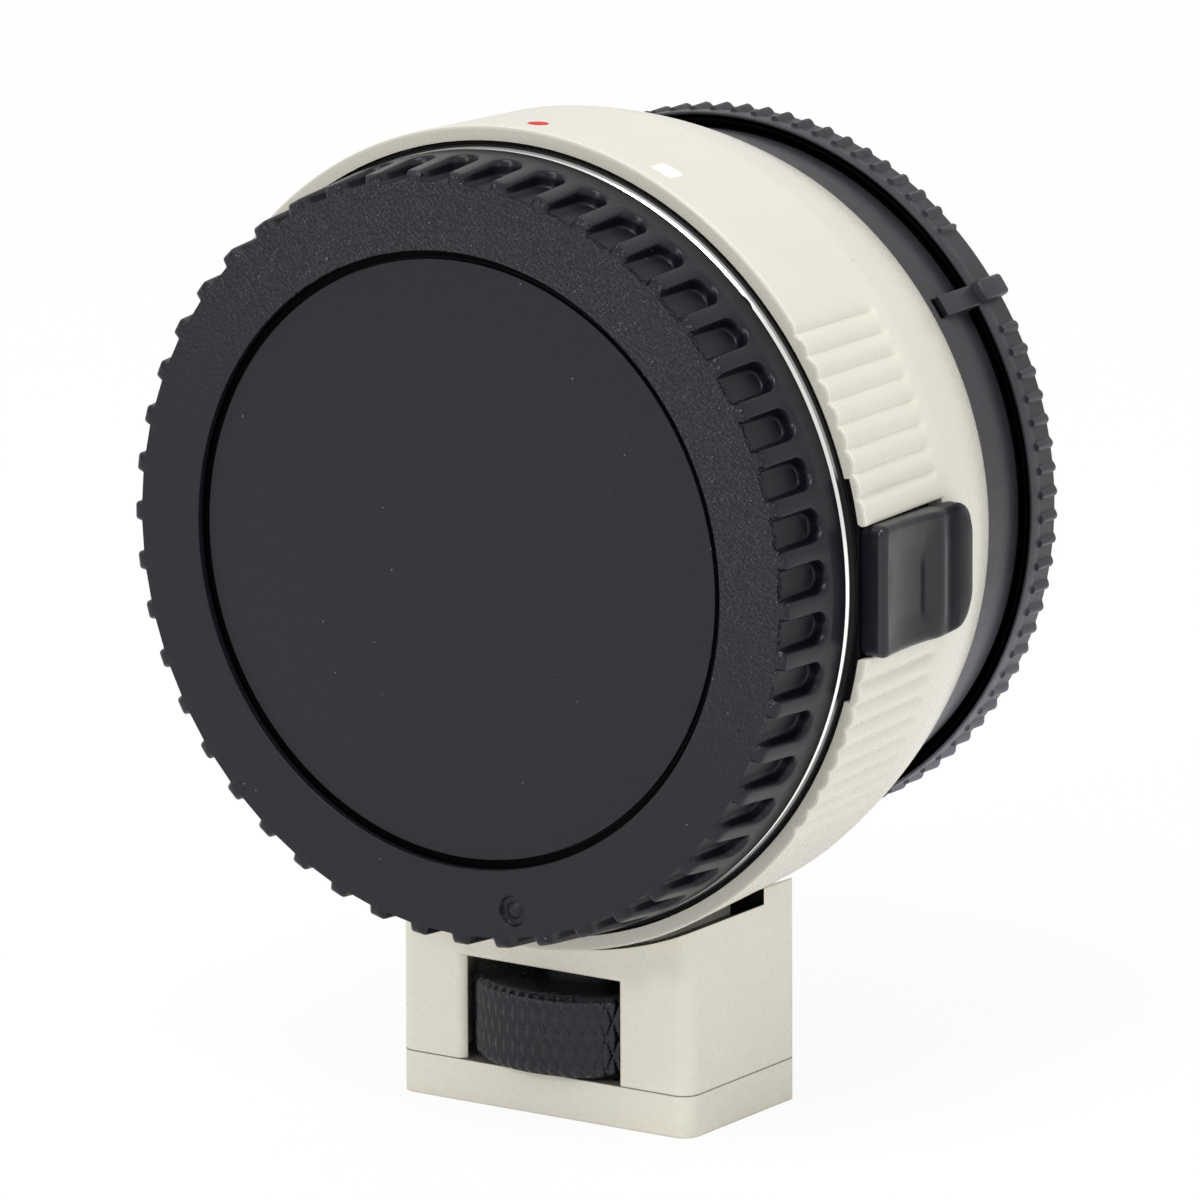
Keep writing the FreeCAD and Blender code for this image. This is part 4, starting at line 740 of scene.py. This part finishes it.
def notch_cell(middle):
    """Rings of points of one notch and half of the lands beside it, from floor to land."""
    side = notch_side()
    mirrored = [(-t, y, -ct, cy, -share, edge) for t, y, ct, cy, share, edge in side[-2::-1]]
    across, along, out_across, out_along, share, edge_along = np.array(side + mirrored).T
    rings = []
    spots = [(across * 0.0, np.minimum(along, NOTCH_END - NOTCH_HALF), 0.0)]
    for offset, level in ((-0.7, 0.0), (-0.24, 0.0), (-0.15, 0.06), (-0.06, 0.26), (0.02, 0.58),
                          (0.10, 0.84), (0.19, 0.96), (0.30, 1.0)):
        spots.append((across + out_across * offset, along + out_along * offset, level))
    for t, y, level in spots:
        high = np.sqrt(land_radius(y) ** 2 - t ** 2)
        low = np.minimum(CAP_SHOULDER, high)
        height = low + (high - low) * level
        turn = middle + np.degrees(np.arctan2(t, height))
        rings.append(ring(np.hypot(t, height), turn, y))
    turn = middle + share * 180.0 / NOTCH_COUNT
    rings.append(ring(land_radius(edge_along), turn, edge_along))
    return rings, turn, edge_along


def front_cap_flank(material):
    """The notched outside of the lens-side cap, with a narrow band of its face."""
    vertices, faces = [], []
    rear = (LAND_END, -1.6, CAP_REAR - 0.7, -0.6, CAP_REAR - 0.25, -0.32, CAP_REAR)

    def add_grid(rows):
        faces.extend(grid_faces(len(rows), len(rows[0]), False, len(vertices)))
        for row in rows:
            vertices.extend(row.tolist())

    for k in range(NOTCH_COUNT):
        middle = NOTCH_FIRST + k * 360.0 / NOTCH_COUNT
        rings, turn, edge_along = notch_cell(middle)
        add_grid(rings)
        lowest = turn[edge_along > LAND_END - 0.001]
        add_grid([ring(land_radius(y), lowest, y) for y in rear])
        front = np.array([row[0] for row in rings[::-1]] + [row[-1] for row in rings[1:]])
        inner = ring(CAP_FACE_EDGE, np.degrees(np.arctan2(front[:, 2], front[:, 0])), CAP_FACE)
        add_grid([front, inner])
    add_object("front_cap_flank", vertices, faces, material, "lens_side_cap", "front_cap", 40.0)


def dimple_depth(across, down):
    """How far the cap's face sinks at a point, round the alignment dimple."""
    gap = np.hypot(across - DIMPLE[0], down - DIMPLE[1])
    wall = ease(np.clip((DIMPLE_RADIUS + 0.05 - gap) / 0.14, 0, 1))
    dome = DOME_RADIUS + 0.05 - np.sqrt(np.clip(DOME_RADIUS ** 2 - gap ** 2, 0, None))
    return wall * np.minimum(DIMPLE_DEPTH, dome)


def front_cap_face(material):
    """Disc, groove and grained ring of the lens-side cap, with its alignment dimple."""
    place = math.degrees(math.atan2(DIMPLE[1], DIMPLE[0]))
    angles = set(np.arange(-180, 180, 1.5)) | set(place + np.arange(-3.0, 3.01, 0.15))
    angles = np.array(sorted(round(float(a), 3) for a in angles))
    profile = soften([
        (AXIS_GAP, CAP_DISC),
        (12.0, CAP_DISC),
        (CAP_DISC_RADIUS, CAP_DISC, 0.06),
        (CAP_DISC_RADIUS, CAP_GROOVE_FLOOR, 0.05),
        (CAP_GROOVE_RADIUS, CAP_GROOVE_FLOOR, 0.05),
        (CAP_GROOVE_RADIUS, CAP_FACE, 0.10),
        (26.5, CAP_FACE),
    ])
    rows = [ring(radius, angles, along) for radius, along in profile]
    for radius in list(np.arange(CAP_FACE_EDGE - 3.0, CAP_FACE_EDGE - 0.05, 0.08)) + [CAP_FACE_EDGE]:
        points = ring(radius, angles, CAP_FACE)
        points[:, 1] += dimple_depth(points[:, 0], points[:, 2])
        rows.append(points)
    add_rows("front_cap_face", rows, material, "lens_side_cap", "front_cap", 50.0)


def front_cap_back(material):
    """Rear side of the lens-side cap: bayonet tube, room for the pin, hollow and tabs."""
    profile = soften([
        (CAP_RADIUS - CAP_BEVEL, CAP_REAR),
        (PIN_ROOM_OUTER, CAP_REAR),
        (PIN_ROOM_OUTER, PIN_ROOM_FLOOR),
        (CAP_HOLLOW_OUTER, PIN_ROOM_FLOOR),
        (CAP_HOLLOW_OUTER, CAP_HOLLOW_FLOOR),
        (CAP_HOLLOW_INNER, CAP_HOLLOW_FLOOR),
        (CAP_HOLLOW_INNER, CAP_REAR),
        (CAP_TUBE_OUTER, CAP_REAR),
        (CAP_TUBE_OUTER, CAP_TUBE_END),
        (CAP_TUBE_INNER, CAP_TUBE_END),
        (CAP_TUBE_INNER, CAP_FLOOR),
        (AXIS_GAP, CAP_FLOOR),
    ], 0.1, 2)
    revolve("front_cap_back", profile, material, "lens_side_cap", "front_cap", 192)
    root = CAP_TUBE_OUTER - 0.1
    tab = [(root, CAP_TAB_FRONT), (CAP_TAB_RADIUS, CAP_TAB_FRONT), (CAP_TAB_RADIUS, CAP_TUBE_END),
           (root, CAP_TUBE_END), (root, CAP_TAB_FRONT)]
    for k in range(CAP_TAB_COUNT):
        middle = CAP_TAB_FIRST + 360.0 / CAP_TAB_COUNT * k
        name = "front_cap_tab_" + str(k + 1)
        span = (middle - CAP_TAB_HALF, middle + CAP_TAB_HALF)
        revolve(name, tab, material, "lens_side_cap", "front_cap", 24, span)


# Barrel


def barrel_radius(along):
    """Outer radius of the barrel at a place along the axis."""
    along = np.asarray(along, float)
    slope = (CREASE_RADIUS - RIM_OUTER) / (CREASE_PLACE - BARREL_FRONT)
    cone = RIM_OUTER + slope * (along - BARREL_FRONT)
    rear = (BARREL_REAR_RADIUS, BARREL_REAR)
    curve = np.array(arc((CREASE_RADIUS, CREASE_PLACE), rear, SHOULDER_RADIUS, 40))
    shoulder = np.interp(along, curve[:, 1], curve[:, 0])
    return np.where(along < CREASE_PLACE, cone, shoulder)


def barrel_bore(along):
    """Inner radius of the barrel: a wide rim, a straight bore and a cone to the rear lip."""
    places = [BARREL_FRONT, RIM_END - 0.01, RIM_END, CREASE_PLACE, REAR_LIP, BARREL_REAR]
    radii = [RIM_INNER, RIM_INNER, BARREL_BORE, BARREL_BORE, REAR_BORE, REAR_BORE]
    return float(np.interp(along, places, radii))


def grip_middles():
    return [side * (GRIP_FIRST + GRIP_PITCH * k) for side in (1, -1) for k in range(GRIP_COUNT)]


def grip_depth(angles, along):
    """How deep the finger grooves are at each angle, at one place along the barrel."""
    depth = np.zeros(len(angles))
    fade = min(1.0, max(0.0, (GRIP_END + 0.5 - along) / GRIP_FADE))
    for middle in grip_middles():
        gap = np.abs(np.radians(angles - middle)) * GRIP_RADIUS
        depth = np.maximum(depth, GRIP_DEPTH * np.clip(1 - gap / GRIP_HALF, 0, 1) ** 1.7)
    return depth * ease(fade)


def slot_half(along):
    """Half width of the lever's slot, which narrows a little to the camera."""
    return SLOT_HALF - SLOT_TAPER * (along - BARREL_FRONT)


def barrel_columns(slot):
    """Angles of the barrel's grid: finer at the grooves, the lever slot and the rim notch."""
    angles = set(np.arange(-180, 180, 2.0))
    steps = np.array([0.0, 0.14, 0.3, 0.55, 0.9, 1.3])
    for middle in grip_middles():
        angles |= set(middle + steps) | set(middle - steps)
    angles = {a for a in angles if abs(abs(a) - slot) > 0.9 and abs(abs(a) - NOTCH_ANGLE) > 0.1}
    for side in (1, -1):
        angles |= {side * (slot + step) for step in (0.0, 0.08, 0.2, 0.5)}
        angles |= {side * NOTCH_ANGLE, side * (NOTCH_ANGLE + 0.08)}
    return np.array(sorted(round(float(a), 4) for a in angles))


def barrel_rows():
    """Places along the barrel of its grid: finer at its edges, its crease and the groove ends."""
    rows = list(BARREL_FRONT + RIM_EDGE * np.array([0.0, 0.05, 0.15, 0.3, 0.5, 0.75, 1.0]))
    rows += [1.2, 2.5, RIM_END - 0.01, RIM_END, 6.0, 8.0, 10.0, 10.8, 11.2, 11.5, 11.8]
    rows += [12.1, 12.4, SLOT_END, 13.0, 13.4, CREASE_PLACE, 14.2]
    rows += list(np.linspace(15.0, 22.0, 10)) + [22.59, REAR_LIP, 23.4]
    return rows + [BARREL_REAR - BARREL_EDGE, BARREL_REAR - 0.03, BARREL_REAR]


def outer_barrel(material):
    """Ivory shell with its grip grooves, lever slot, rim notch and domed shoulder."""
    slot = round(math.degrees(math.asin(SLOT_HALF / RIM_OUTER)), 4)
    angles = barrel_columns(slot)
    edge = BARREL_EDGE
    rows = barrel_rows()
    share = np.sign(angles) * np.interp(np.abs(angles), [0, slot + 0.5, SLOT_SIDE_END], [1, 1, 0])
    beyond = (np.abs(angles) - slot) * math.radians(1) * GRIP_RADIUS
    near = np.clip(1 - np.where(beyond < -1e-6, edge, beyond) / edge, 0, 1)
    outer, inner = [], []
    for along in rows:
        surface = float(barrel_radius(along))
        radius = surface - grip_depth(angles, along)
        for reach, gap in ((RIM_EDGE, along - BARREL_FRONT), (edge, BARREL_REAR - along)):
            radius = radius - reach * (1 - math.sqrt(max(0.0, 1 - max(1 - gap / reach, 0.0) ** 2)))
        if along <= SLOT_END:
            radius = radius - edge * (1 - np.sqrt(1 - near ** 2))
        shift = math.degrees(math.asin(slot_half(along) / surface)) - slot
        outer.append(ring(radius, angles + share * shift, along))
        bore = barrel_bore(along)
        in_notch = (along < RIM_END) & (np.abs(angles) <= NOTCH_ANGLE + 1e-6)
        shift = math.degrees(math.asin(slot_half(along) / bore)) - slot
        inner.append(ring(np.where(in_notch, NOTCH_RADIUS, bore), angles + share * shift, along))
    columns = len(angles)
    depth = len(rows) * columns
    in_slot = [max(abs(a), abs(b)) <= slot + 1e-6 for a, b in zip(angles, angles[1:])] + [False]
    kept = {(i, j) for i in range(len(rows) - 1) for j in range(columns)
            if not (in_slot[j] and rows[i + 1] <= SLOT_END)}
    faces = []
    for i, j in sorted(kept):
        k = (j + 1) % columns
        a, b = i * columns + j, i * columns + k
        c, e = b + columns, a + columns
        faces.append((a, b, c, e))
        faces.append((depth + e, depth + c, depth + b, depth + a))
        beside = (((i - 1, j), a, b), ((i + 1, j), c, e), ((i, (j - 1) % columns), e, a), ((i, k), b, c))
        for other, p, q in beside:
            if other not in kept:
                faces.append((q, p, depth + p, depth + q))
    vertices = np.concatenate(outer + inner)
    add_object("outer_barrel_shell", vertices, faces, material, "adapter", "outer_barrel", 32.0)


def mark_patch(name, shape, middle, material, node):
    """A painted mark laid on the barrel: shape is a list of (across, along) round its centre."""
    vertices = []
    shape = np.array(shape)
    levels = [(1.0, -0.15), (1.0, MARK_LIFT * 0.6)]
    levels += [(scale, MARK_LIFT) for scale in (0.97, 0.6, 0.25, 0.0)]
    for scale, lift in levels:
        across, along = shape[:, 0] * scale, MARK_PLACE + shape[:, 1] * scale
        turn = middle + np.degrees(across / RIM_OUTER)
        vertices.extend(ring(barrel_radius(along) + lift, turn, along).tolist())
    add_object(name, vertices, grid_faces(len(levels), len(shape)), material, "adapter", node)


def index_marks(materials):
    turns = np.linspace(0, 2 * math.pi, 33)[:-1]
    disc = [(RED_RADIUS * math.cos(turn), RED_RADIUS * math.sin(turn)) for turn in turns]
    mark_patch("red_mark", disc, 90.0, materials["red_paint"], "red_index_mark")
    square = []
    inset = WHITE_SIDE / 2 - WHITE_CORNER
    for x, y, first in ((1, 1, 0), (-1, 1, 90), (-1, -1, 180), (1, -1, 270)):
        for turn in np.radians(np.linspace(first, first + 90, 6)):
            square.append((x * inset + WHITE_CORNER * math.cos(turn),
                           y * inset + WHITE_CORNER * math.sin(turn)))
    mark_patch("white_mark", square, WHITE_ANGLE, materials["white_paint"], "white_index_mark")


# Camera-side cap


def rib_radius(angles, share):
    """Radius of the ribbed rim at each angle."""
    pitch = RIB_SPAN / (RIB_COUNT - 1)
    place = (angles - RIB_FIRST) % 360.0
    near = np.round(place / pitch)
    gap = np.abs(place - near * pitch) * math.radians(1) * RIB_PLACE
    gap = np.where(near > RIB_COUNT - 1, RIB_ROUND, gap)
    bulge = np.sqrt(np.clip(RIB_ROUND ** 2 - gap ** 2, 0, None))
    return RIB_BASE + share * (bulge + (RIB_PLACE - RIB_BASE) * (bulge > 0))


def rear_cap(material):
    """Camera-side cap: tapered skirt, moat with a thin ridge, ribbed rim and flat back."""
    pitch = RIB_SPAN / (RIB_COUNT - 1)
    angles = RIB_FIRST + np.arange(0, 360.0, pitch / 8)
    profile = soften([
        (SKIRT_INNER, SKIRT_FRONT),
        (SKIRT_FRONT_RADIUS, SKIRT_FRONT, 0.15),
        (SKIRT_REAR_RADIUS, SKIRT_REAR, 0.15),
        (SKIRT_REAR_RADIUS, MOAT_FLOOR),
        (RIDGE_INNER, MOAT_FLOOR),
        (RIDGE_INNER, LIP_PLACE, 0.06),
        (RIDGE_OUTER, LIP_PLACE, 0.06),
        (RIDGE_OUTER, MOAT_FLOOR),
        (MOAT_OUTER, MOAT_FLOOR),
        (MOAT_OUTER, LIP_PLACE, 0.05),
        (LIP_RADIUS, LIP_PLACE, 0.08),
        (LIP_RADIUS, RIB_FRONT, 0.05),
        (RIB_BASE, RIB_FRONT),
    ], 0.02, 2)
    rows = [ring(r, angles, y) for r, y in profile]
    for along in (RIB_FRONT + 0.02, RIB_FRONT + 1.1, RIB_REAR - 0.35):
        rows.append(ring(rib_radius(angles, 1.0), angles, along))
    for along, share in ((RIB_REAR - 0.18, 0.9), (RIB_REAR - 0.05, 0.6), (RIB_REAR, 0.0)):
        rows.append(ring(rib_radius(angles, share), angles, along))
    back = soften([(RIB_BASE, RIB_REAR), (REAR_FACE_RADIUS, REAR_FACE, 0.1), (28.6, REAR_FACE)])
    back += [(14.0, REAR_FACE), (AXIS_GAP, REAR_FACE)]
    rows += [ring(r, angles, y) for r, y in back[1:]]
    add_rows("rear_cap_shell", rows, material, "camera_side_cap", "rear_cap", 40.0)


def rear_cap_key(material):
    """Index key on the camera-side cap: a low bar and the higher block behind it."""
    for name, low, high, front, rear, corner in (("bar", 28.0, 29.75, KEY_FRONT, 31.4, 0.12),
                                                 ("block", 28.3, 30.75, 31.3, 34.6, 0.35)):
        soft_box("rear_cap_key_" + name, (low, front, -KEY_HALF), (high, rear, KEY_HALF), corner, material,
                 "camera_side_cap", "rear_cap", KEY_ANGLE)


# Release lever


def lever_profile():
    """Side view of the lever's top as (height, along), front to rear."""
    front, ridge, dish = (34.94, LEVER_FRONT), (34.97, 1.7), (34.55, 7.2)
    crest_front, crest_rear, rear = (35.3, 8.7), (35.3, 9.7), (34.3, LEVER_REAR)
    points = arc(front, ridge, 6.0, 6)
    points += arc(ridge, dish, -14.0, 10)[1:]
    points += arc(dish, crest_front, -2.2, 6)[1:]
    points += arc(crest_front, crest_rear, 1.1, 6)[1:]
    points += arc(crest_rear, rear, 15.0, 8)[1:]
    return np.array(points)


def lever_height(along, across):
    """Height of the lever's top: the dish and its ridges are softer towards the two ends."""
    profile = lever_profile()
    middle = np.interp(along, profile[:, 1], profile[:, 0])
    heights = [34.94, 34.97, 34.88, 34.9, 35.08, 35.2, 34.95, 34.3]
    end = np.interp(along, [LEVER_FRONT, 1.7, 4.0, 6.0, 8.0, 9.5, 12.0, LEVER_REAR], heights)
    share = ease(np.clip((np.abs(across) - 2.2) / 3.0, 0, 1)) * 0.75
    return middle * (1 - share) + end * share


def lever_outline(inset):
    """Rounded outline of the lever from above, as (along, across), drawn in by an inset."""
    low, high, half = LEVER_FRONT + inset, LEVER_REAR - inset, LEVER_HALF - inset
    big, small = max(LEVER_CORNER - inset, 0.05), max(LEVER_FRONT_CORNER - inset, 0.05)
    line = []
    for turn in np.radians(np.linspace(180, 90, 6)):
        line.append((low + small + small * math.cos(turn), half - small + small * math.sin(turn)))
    for share in np.linspace(0, 1, 49)[1:-1]:
        line.append((low + small + (high - big - low - small) * share, half))
    for turn in np.radians(np.linspace(90, 0, 10)):
        line.append((high - big + big * math.cos(turn), half - big + big * math.sin(turn)))
    line = np.array(line + [(y, -z) for y, z in line[::-1]])
    line[:, 1] *= 1 - LEVER_TAPER / LEVER_HALF * (line[:, 0] - LEVER_FRONT)
    return line


def release_lever(material):
    """Black thumb piece: dished top between two ridges, rounded all round."""
    edge = LEVER_EDGE
    base = lever_outline(0.0)
    level = lever_height(base[:, 0], base[:, 1])
    under = np.where(base[:, 0] > LEVER_OVERHANG, LEVER_OVERHANG_FLOOR, LEVER_FLOOR)
    rings = [(base * (1.0, 0.0), under), (base, under)]
    for step in np.radians(np.linspace(0, 90, 7)):
        rings.append((lever_outline(edge * (1 - math.cos(step))), level - edge + edge * math.sin(step)))
    for share in np.linspace(0.94, 0, 12):
        points = lever_outline(edge) * (1.0, share)
        rings.append((points, lever_height(points[:, 0], points[:, 1])))
    vertices = []
    for points, height in rings:
        vertices.extend(np.stack([height, points[:, 0], points[:, 1]], axis=-1).tolist())
    add_object("release_lever_top", vertices, grid_faces(len(rings), len(base)), material,
               "release", "release_lever", 28.0)
    soft_box("release_lever_stem", STEM_LOW, STEM_HIGH, 0.15, material, "release", "release_lever")


def release_springs(material):
    """Two coil springs on the lever's guides."""
    low, high = (np.array(corner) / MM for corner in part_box("release_springs"))
    reach, length = (high[0] - low[0]) / 2, high[1] - low[1]
    middle = (low[0] + high[0]) / 2
    sides = 6
    shares = np.linspace(0, 1, SPRING_TURNS * 20 + 1)
    around = np.radians(np.arange(sides) * 360.0 / sides)
    faces = grid_faces(len(shares), sides)
    last = (len(shares) - 1) * sides
    faces += [tuple(range(sides)), tuple(range(last, last + sides))]
    for name, place in (("upper", high[2] - reach), ("lower", low[2] + reach)):
        vertices = []
        for share in shares:
            turn = 2 * math.pi * SPRING_TURNS * share
            along = low[1] + SPRING_WIRE / 2 + (length - SPRING_WIRE) * share
            out = reach - SPRING_WIRE / 2 * (1 - np.cos(around))
            rows = np.stack([middle + out * math.cos(turn), along + SPRING_WIRE / 2 * np.sin(around),
                             place + out * math.sin(turn)], axis=-1)
            vertices.extend(rows.tolist())
        piece = add_object("release_spring_" + name, vertices, faces, material, "adapter", "release_springs")
        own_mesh(piece)


# Thumb wheel


def wheel_ring(radius, turns, height):
    """Points about the upright stud."""
    heights = np.full_like(turns, height)
    return np.stack([radius * np.cos(turns), WHEEL_PLACE + radius * np.sin(turns), heights], axis=-1)


def thumb_wheel(material):
    """Wheel with a diamond knurl, turned about the upright stud."""
    turns = np.arange(KNURL_COUNT * 8) * 2 * math.pi / (KNURL_COUNT * 8)
    middle = (WHEEL_TOP + WHEEL_BOTTOM) / 2
    edge = WHEEL_RADIUS - WHEEL_BEVEL
    top = ((WHEEL_BORE, WHEEL_TOP), (9.0, WHEEL_TOP), (edge - 0.06, WHEEL_TOP), (edge, WHEEL_TOP - 0.04))
    rows = [wheel_ring(radius, turns, height) for radius, height in top]
    for height in np.linspace(WHEEL_TOP - 0.22, WHEEL_BOTTOM + 0.22, 56):
        phase = (height - middle) / KNURL_PITCH * 2 * math.pi
        first = np.abs(np.sin((turns * KNURL_COUNT + phase) / 2))
        second = np.abs(np.sin((turns * KNURL_COUNT - phase) / 2))
        depth = KNURL_DEPTH * (1 - np.minimum(first, second) ** 0.7)
        margin = min(WHEEL_TOP - height, height - WHEEL_BOTTOM)
        rows.append(wheel_ring(WHEEL_RADIUS - depth - max(0.0, 0.5 - margin) * 0.7, turns, height))
    recess = WHEEL_BOTTOM + WHEEL_RECESS_DEPTH
    bottom = ((edge, WHEEL_BOTTOM + 0.04), (edge - 0.06, WHEEL_BOTTOM), (WHEEL_RECESS, WHEEL_BOTTOM),
              (WHEEL_RECESS, recess), (WHEEL_BORE, recess), (WHEEL_BORE, WHEEL_TOP))
    rows += [wheel_ring(radius, turns, height) for radius, height in bottom]
    add_rows("thumb_wheel_knurled", rows, material, "wheel", "thumb_wheel", 50.0)


# Studio


def camera():
    """The photograph's view through a long lens, from the lens side and a little above."""
    yaw, pitch, roll = (math.radians(turn) for turn in (CAMERA_YAW, CAMERA_PITCH, CAMERA_ROLL))
    level = math.cos(pitch)
    forward = Vector((-math.sin(yaw) * level, math.cos(yaw) * level, -math.sin(pitch)))
    place = Vector(CAMERA_PLACE) * MM
    data = bpy.data.cameras.new("camera")
    data.sensor_width = SENSOR_WIDE
    data.lens = FOCAL_PIXELS / PHOTO_WIDE * SENSOR_WIDE
    data.clip_start = 0.1
    data.clip_end = 20.0
    holder = place_object("camera", data)
    turn = forward.to_track_quat("-Z", "Y").to_matrix().to_4x4()
    holder.matrix_world = Matrix.Translation(place) @ turn @ Matrix.Rotation(roll, 4, "Z")
    bpy.context.scene.camera = holder


def lamp(name, place, aim, size, power):
    data = bpy.data.lights.new(name, "AREA")
    data.shape = "RECTANGLE"
    data.size, data.size_y = size
    data.energy = power
    holder = place_object(name, data)
    place, aim = Vector(place), Vector(aim)
    turn = (aim - place).to_track_quat("-Z", "Y").to_matrix().to_4x4()
    holder.matrix_world = Matrix.Translation(place) @ turn


def camera_share(tree, low, high):
    """High where the camera itself looks at a surface and low for all other light."""
    rays = tree.nodes.new("ShaderNodeLightPath")
    share = tree.nodes.new("ShaderNodeMapRange")
    share.inputs["To Min"].default_value = low
    share.inputs["To Max"].default_value = high
    tree.links.new(rays.outputs["Is Camera Ray"], share.inputs["Value"])
    return share.outputs["Result"]


def studio():
    """Soft lamps and a white surround."""
    middle = (0.0, 0.01, -0.005)
    lamp("key_lamp", (0.10, -0.40, 0.75), middle, (0.35, 0.35), 3.2)
    lamp("right_lamp", (0.80, -0.20, 0.30), middle, (0.4, 0.5), 0.45)
    lamp("front_lamp", (-0.07, -0.80, 0.38), middle, (0.12, 0.12), 1.3)
    world = bpy.data.worlds.new("surround")
    bpy.context.scene.world = world
    world.use_nodes = True
    tree = world.node_tree
    back = tree.nodes["Background"]
    back.inputs["Color"].default_value = (1, 1, 1, 1)
    tree.links.new(camera_share(tree, 0.80, 1.0), back.inputs["Strength"])


def floor():
    """Pale floor that keeps a faint shadow and stays below the foot when that is let down."""
    mesh = bpy.data.meshes.new("floor")
    half, level = 3.0, FOOT_BOTTOM * MM
    corners = [(x * half, y * half, level) for x, y in ((-1, -1), (1, -1), (1, 1), (-1, 1))]
    mesh.from_pydata(corners, [], [(0, 1, 2, 3)])
    material = bpy.data.materials.new("floor_white")
    material.use_nodes = True
    nodes, links = material.node_tree.nodes, material.node_tree.links
    use(material, "Base Color", (0.95, 0.95, 0.95))
    use(material, "Roughness", 0.9)
    use(material, "Specular IOR Level", 0.0)
    glow = nodes.new("ShaderNodeEmission")
    glow.inputs["Color"].default_value = (1, 1, 1, 1)
    blend = nodes.new("ShaderNodeMixShader")
    links.new(camera_share(material.node_tree, 0.0, 0.9), blend.inputs["Fac"])
    links.new(main_shader(material).outputs["BSDF"], blend.inputs[1])
    links.new(glow.outputs["Emission"], blend.inputs[2])
    links.new(blend.outputs["Shader"], nodes["Material Output"].inputs["Surface"])
    mesh.materials.append(material)
    piece = place_object("floor", mesh)
    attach(piece, "foot")


# Everything together


def paint_nodes(frame, materials):
    """Gives each CAD node that is carried over the material of its slot, or its own."""
    # The foot's housing and plate take the foot paint; the clamp stud and washer inside the foot take the
    # wheel's near-black, as painted shade inside the foot.
    own = {"foot_housing": "foot_paint", "foot_base_plate": "foot_paint",
           "clamp_stud": "wheel_metal", "thumb_wheel_washer": "wheel_metal"}
    slots = {part["node"]: part["material_slot"] for part in frame["record"]["subparts"]}
    for name, node in frame["nodes"].items():
        node.data.materials.clear()
        node.data.materials.append(materials[own.get(name, slots[name])])


def build(materials):
    front_cap_flank(materials["cap_plastic"])
    front_cap_face(materials["cap_plastic"])
    front_cap_back(materials["cap_plastic"])
    outer_barrel(materials["ivory_paint"])
    index_marks(materials)
    rear_cap(materials["rear_cap_plastic"])
    rear_cap_key(materials["rear_cap_plastic"])
    release_lever(materials["lever_plastic"])
    release_springs(materials["spring_steel"])
    thumb_wheel(materials["wheel_metal"])


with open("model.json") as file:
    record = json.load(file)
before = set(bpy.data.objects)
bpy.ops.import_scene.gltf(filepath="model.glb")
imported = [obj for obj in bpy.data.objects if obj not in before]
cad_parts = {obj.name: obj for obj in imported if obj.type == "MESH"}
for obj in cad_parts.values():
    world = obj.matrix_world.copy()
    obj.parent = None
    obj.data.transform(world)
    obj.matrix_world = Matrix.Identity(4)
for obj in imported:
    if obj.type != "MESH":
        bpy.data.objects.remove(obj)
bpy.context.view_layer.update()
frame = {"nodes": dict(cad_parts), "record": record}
looks = make_materials()
paint_nodes(frame, looks)
build(looks)
floor()
studio()
camera()
bpy.context.scene.view_settings.view_transform = "Standard"
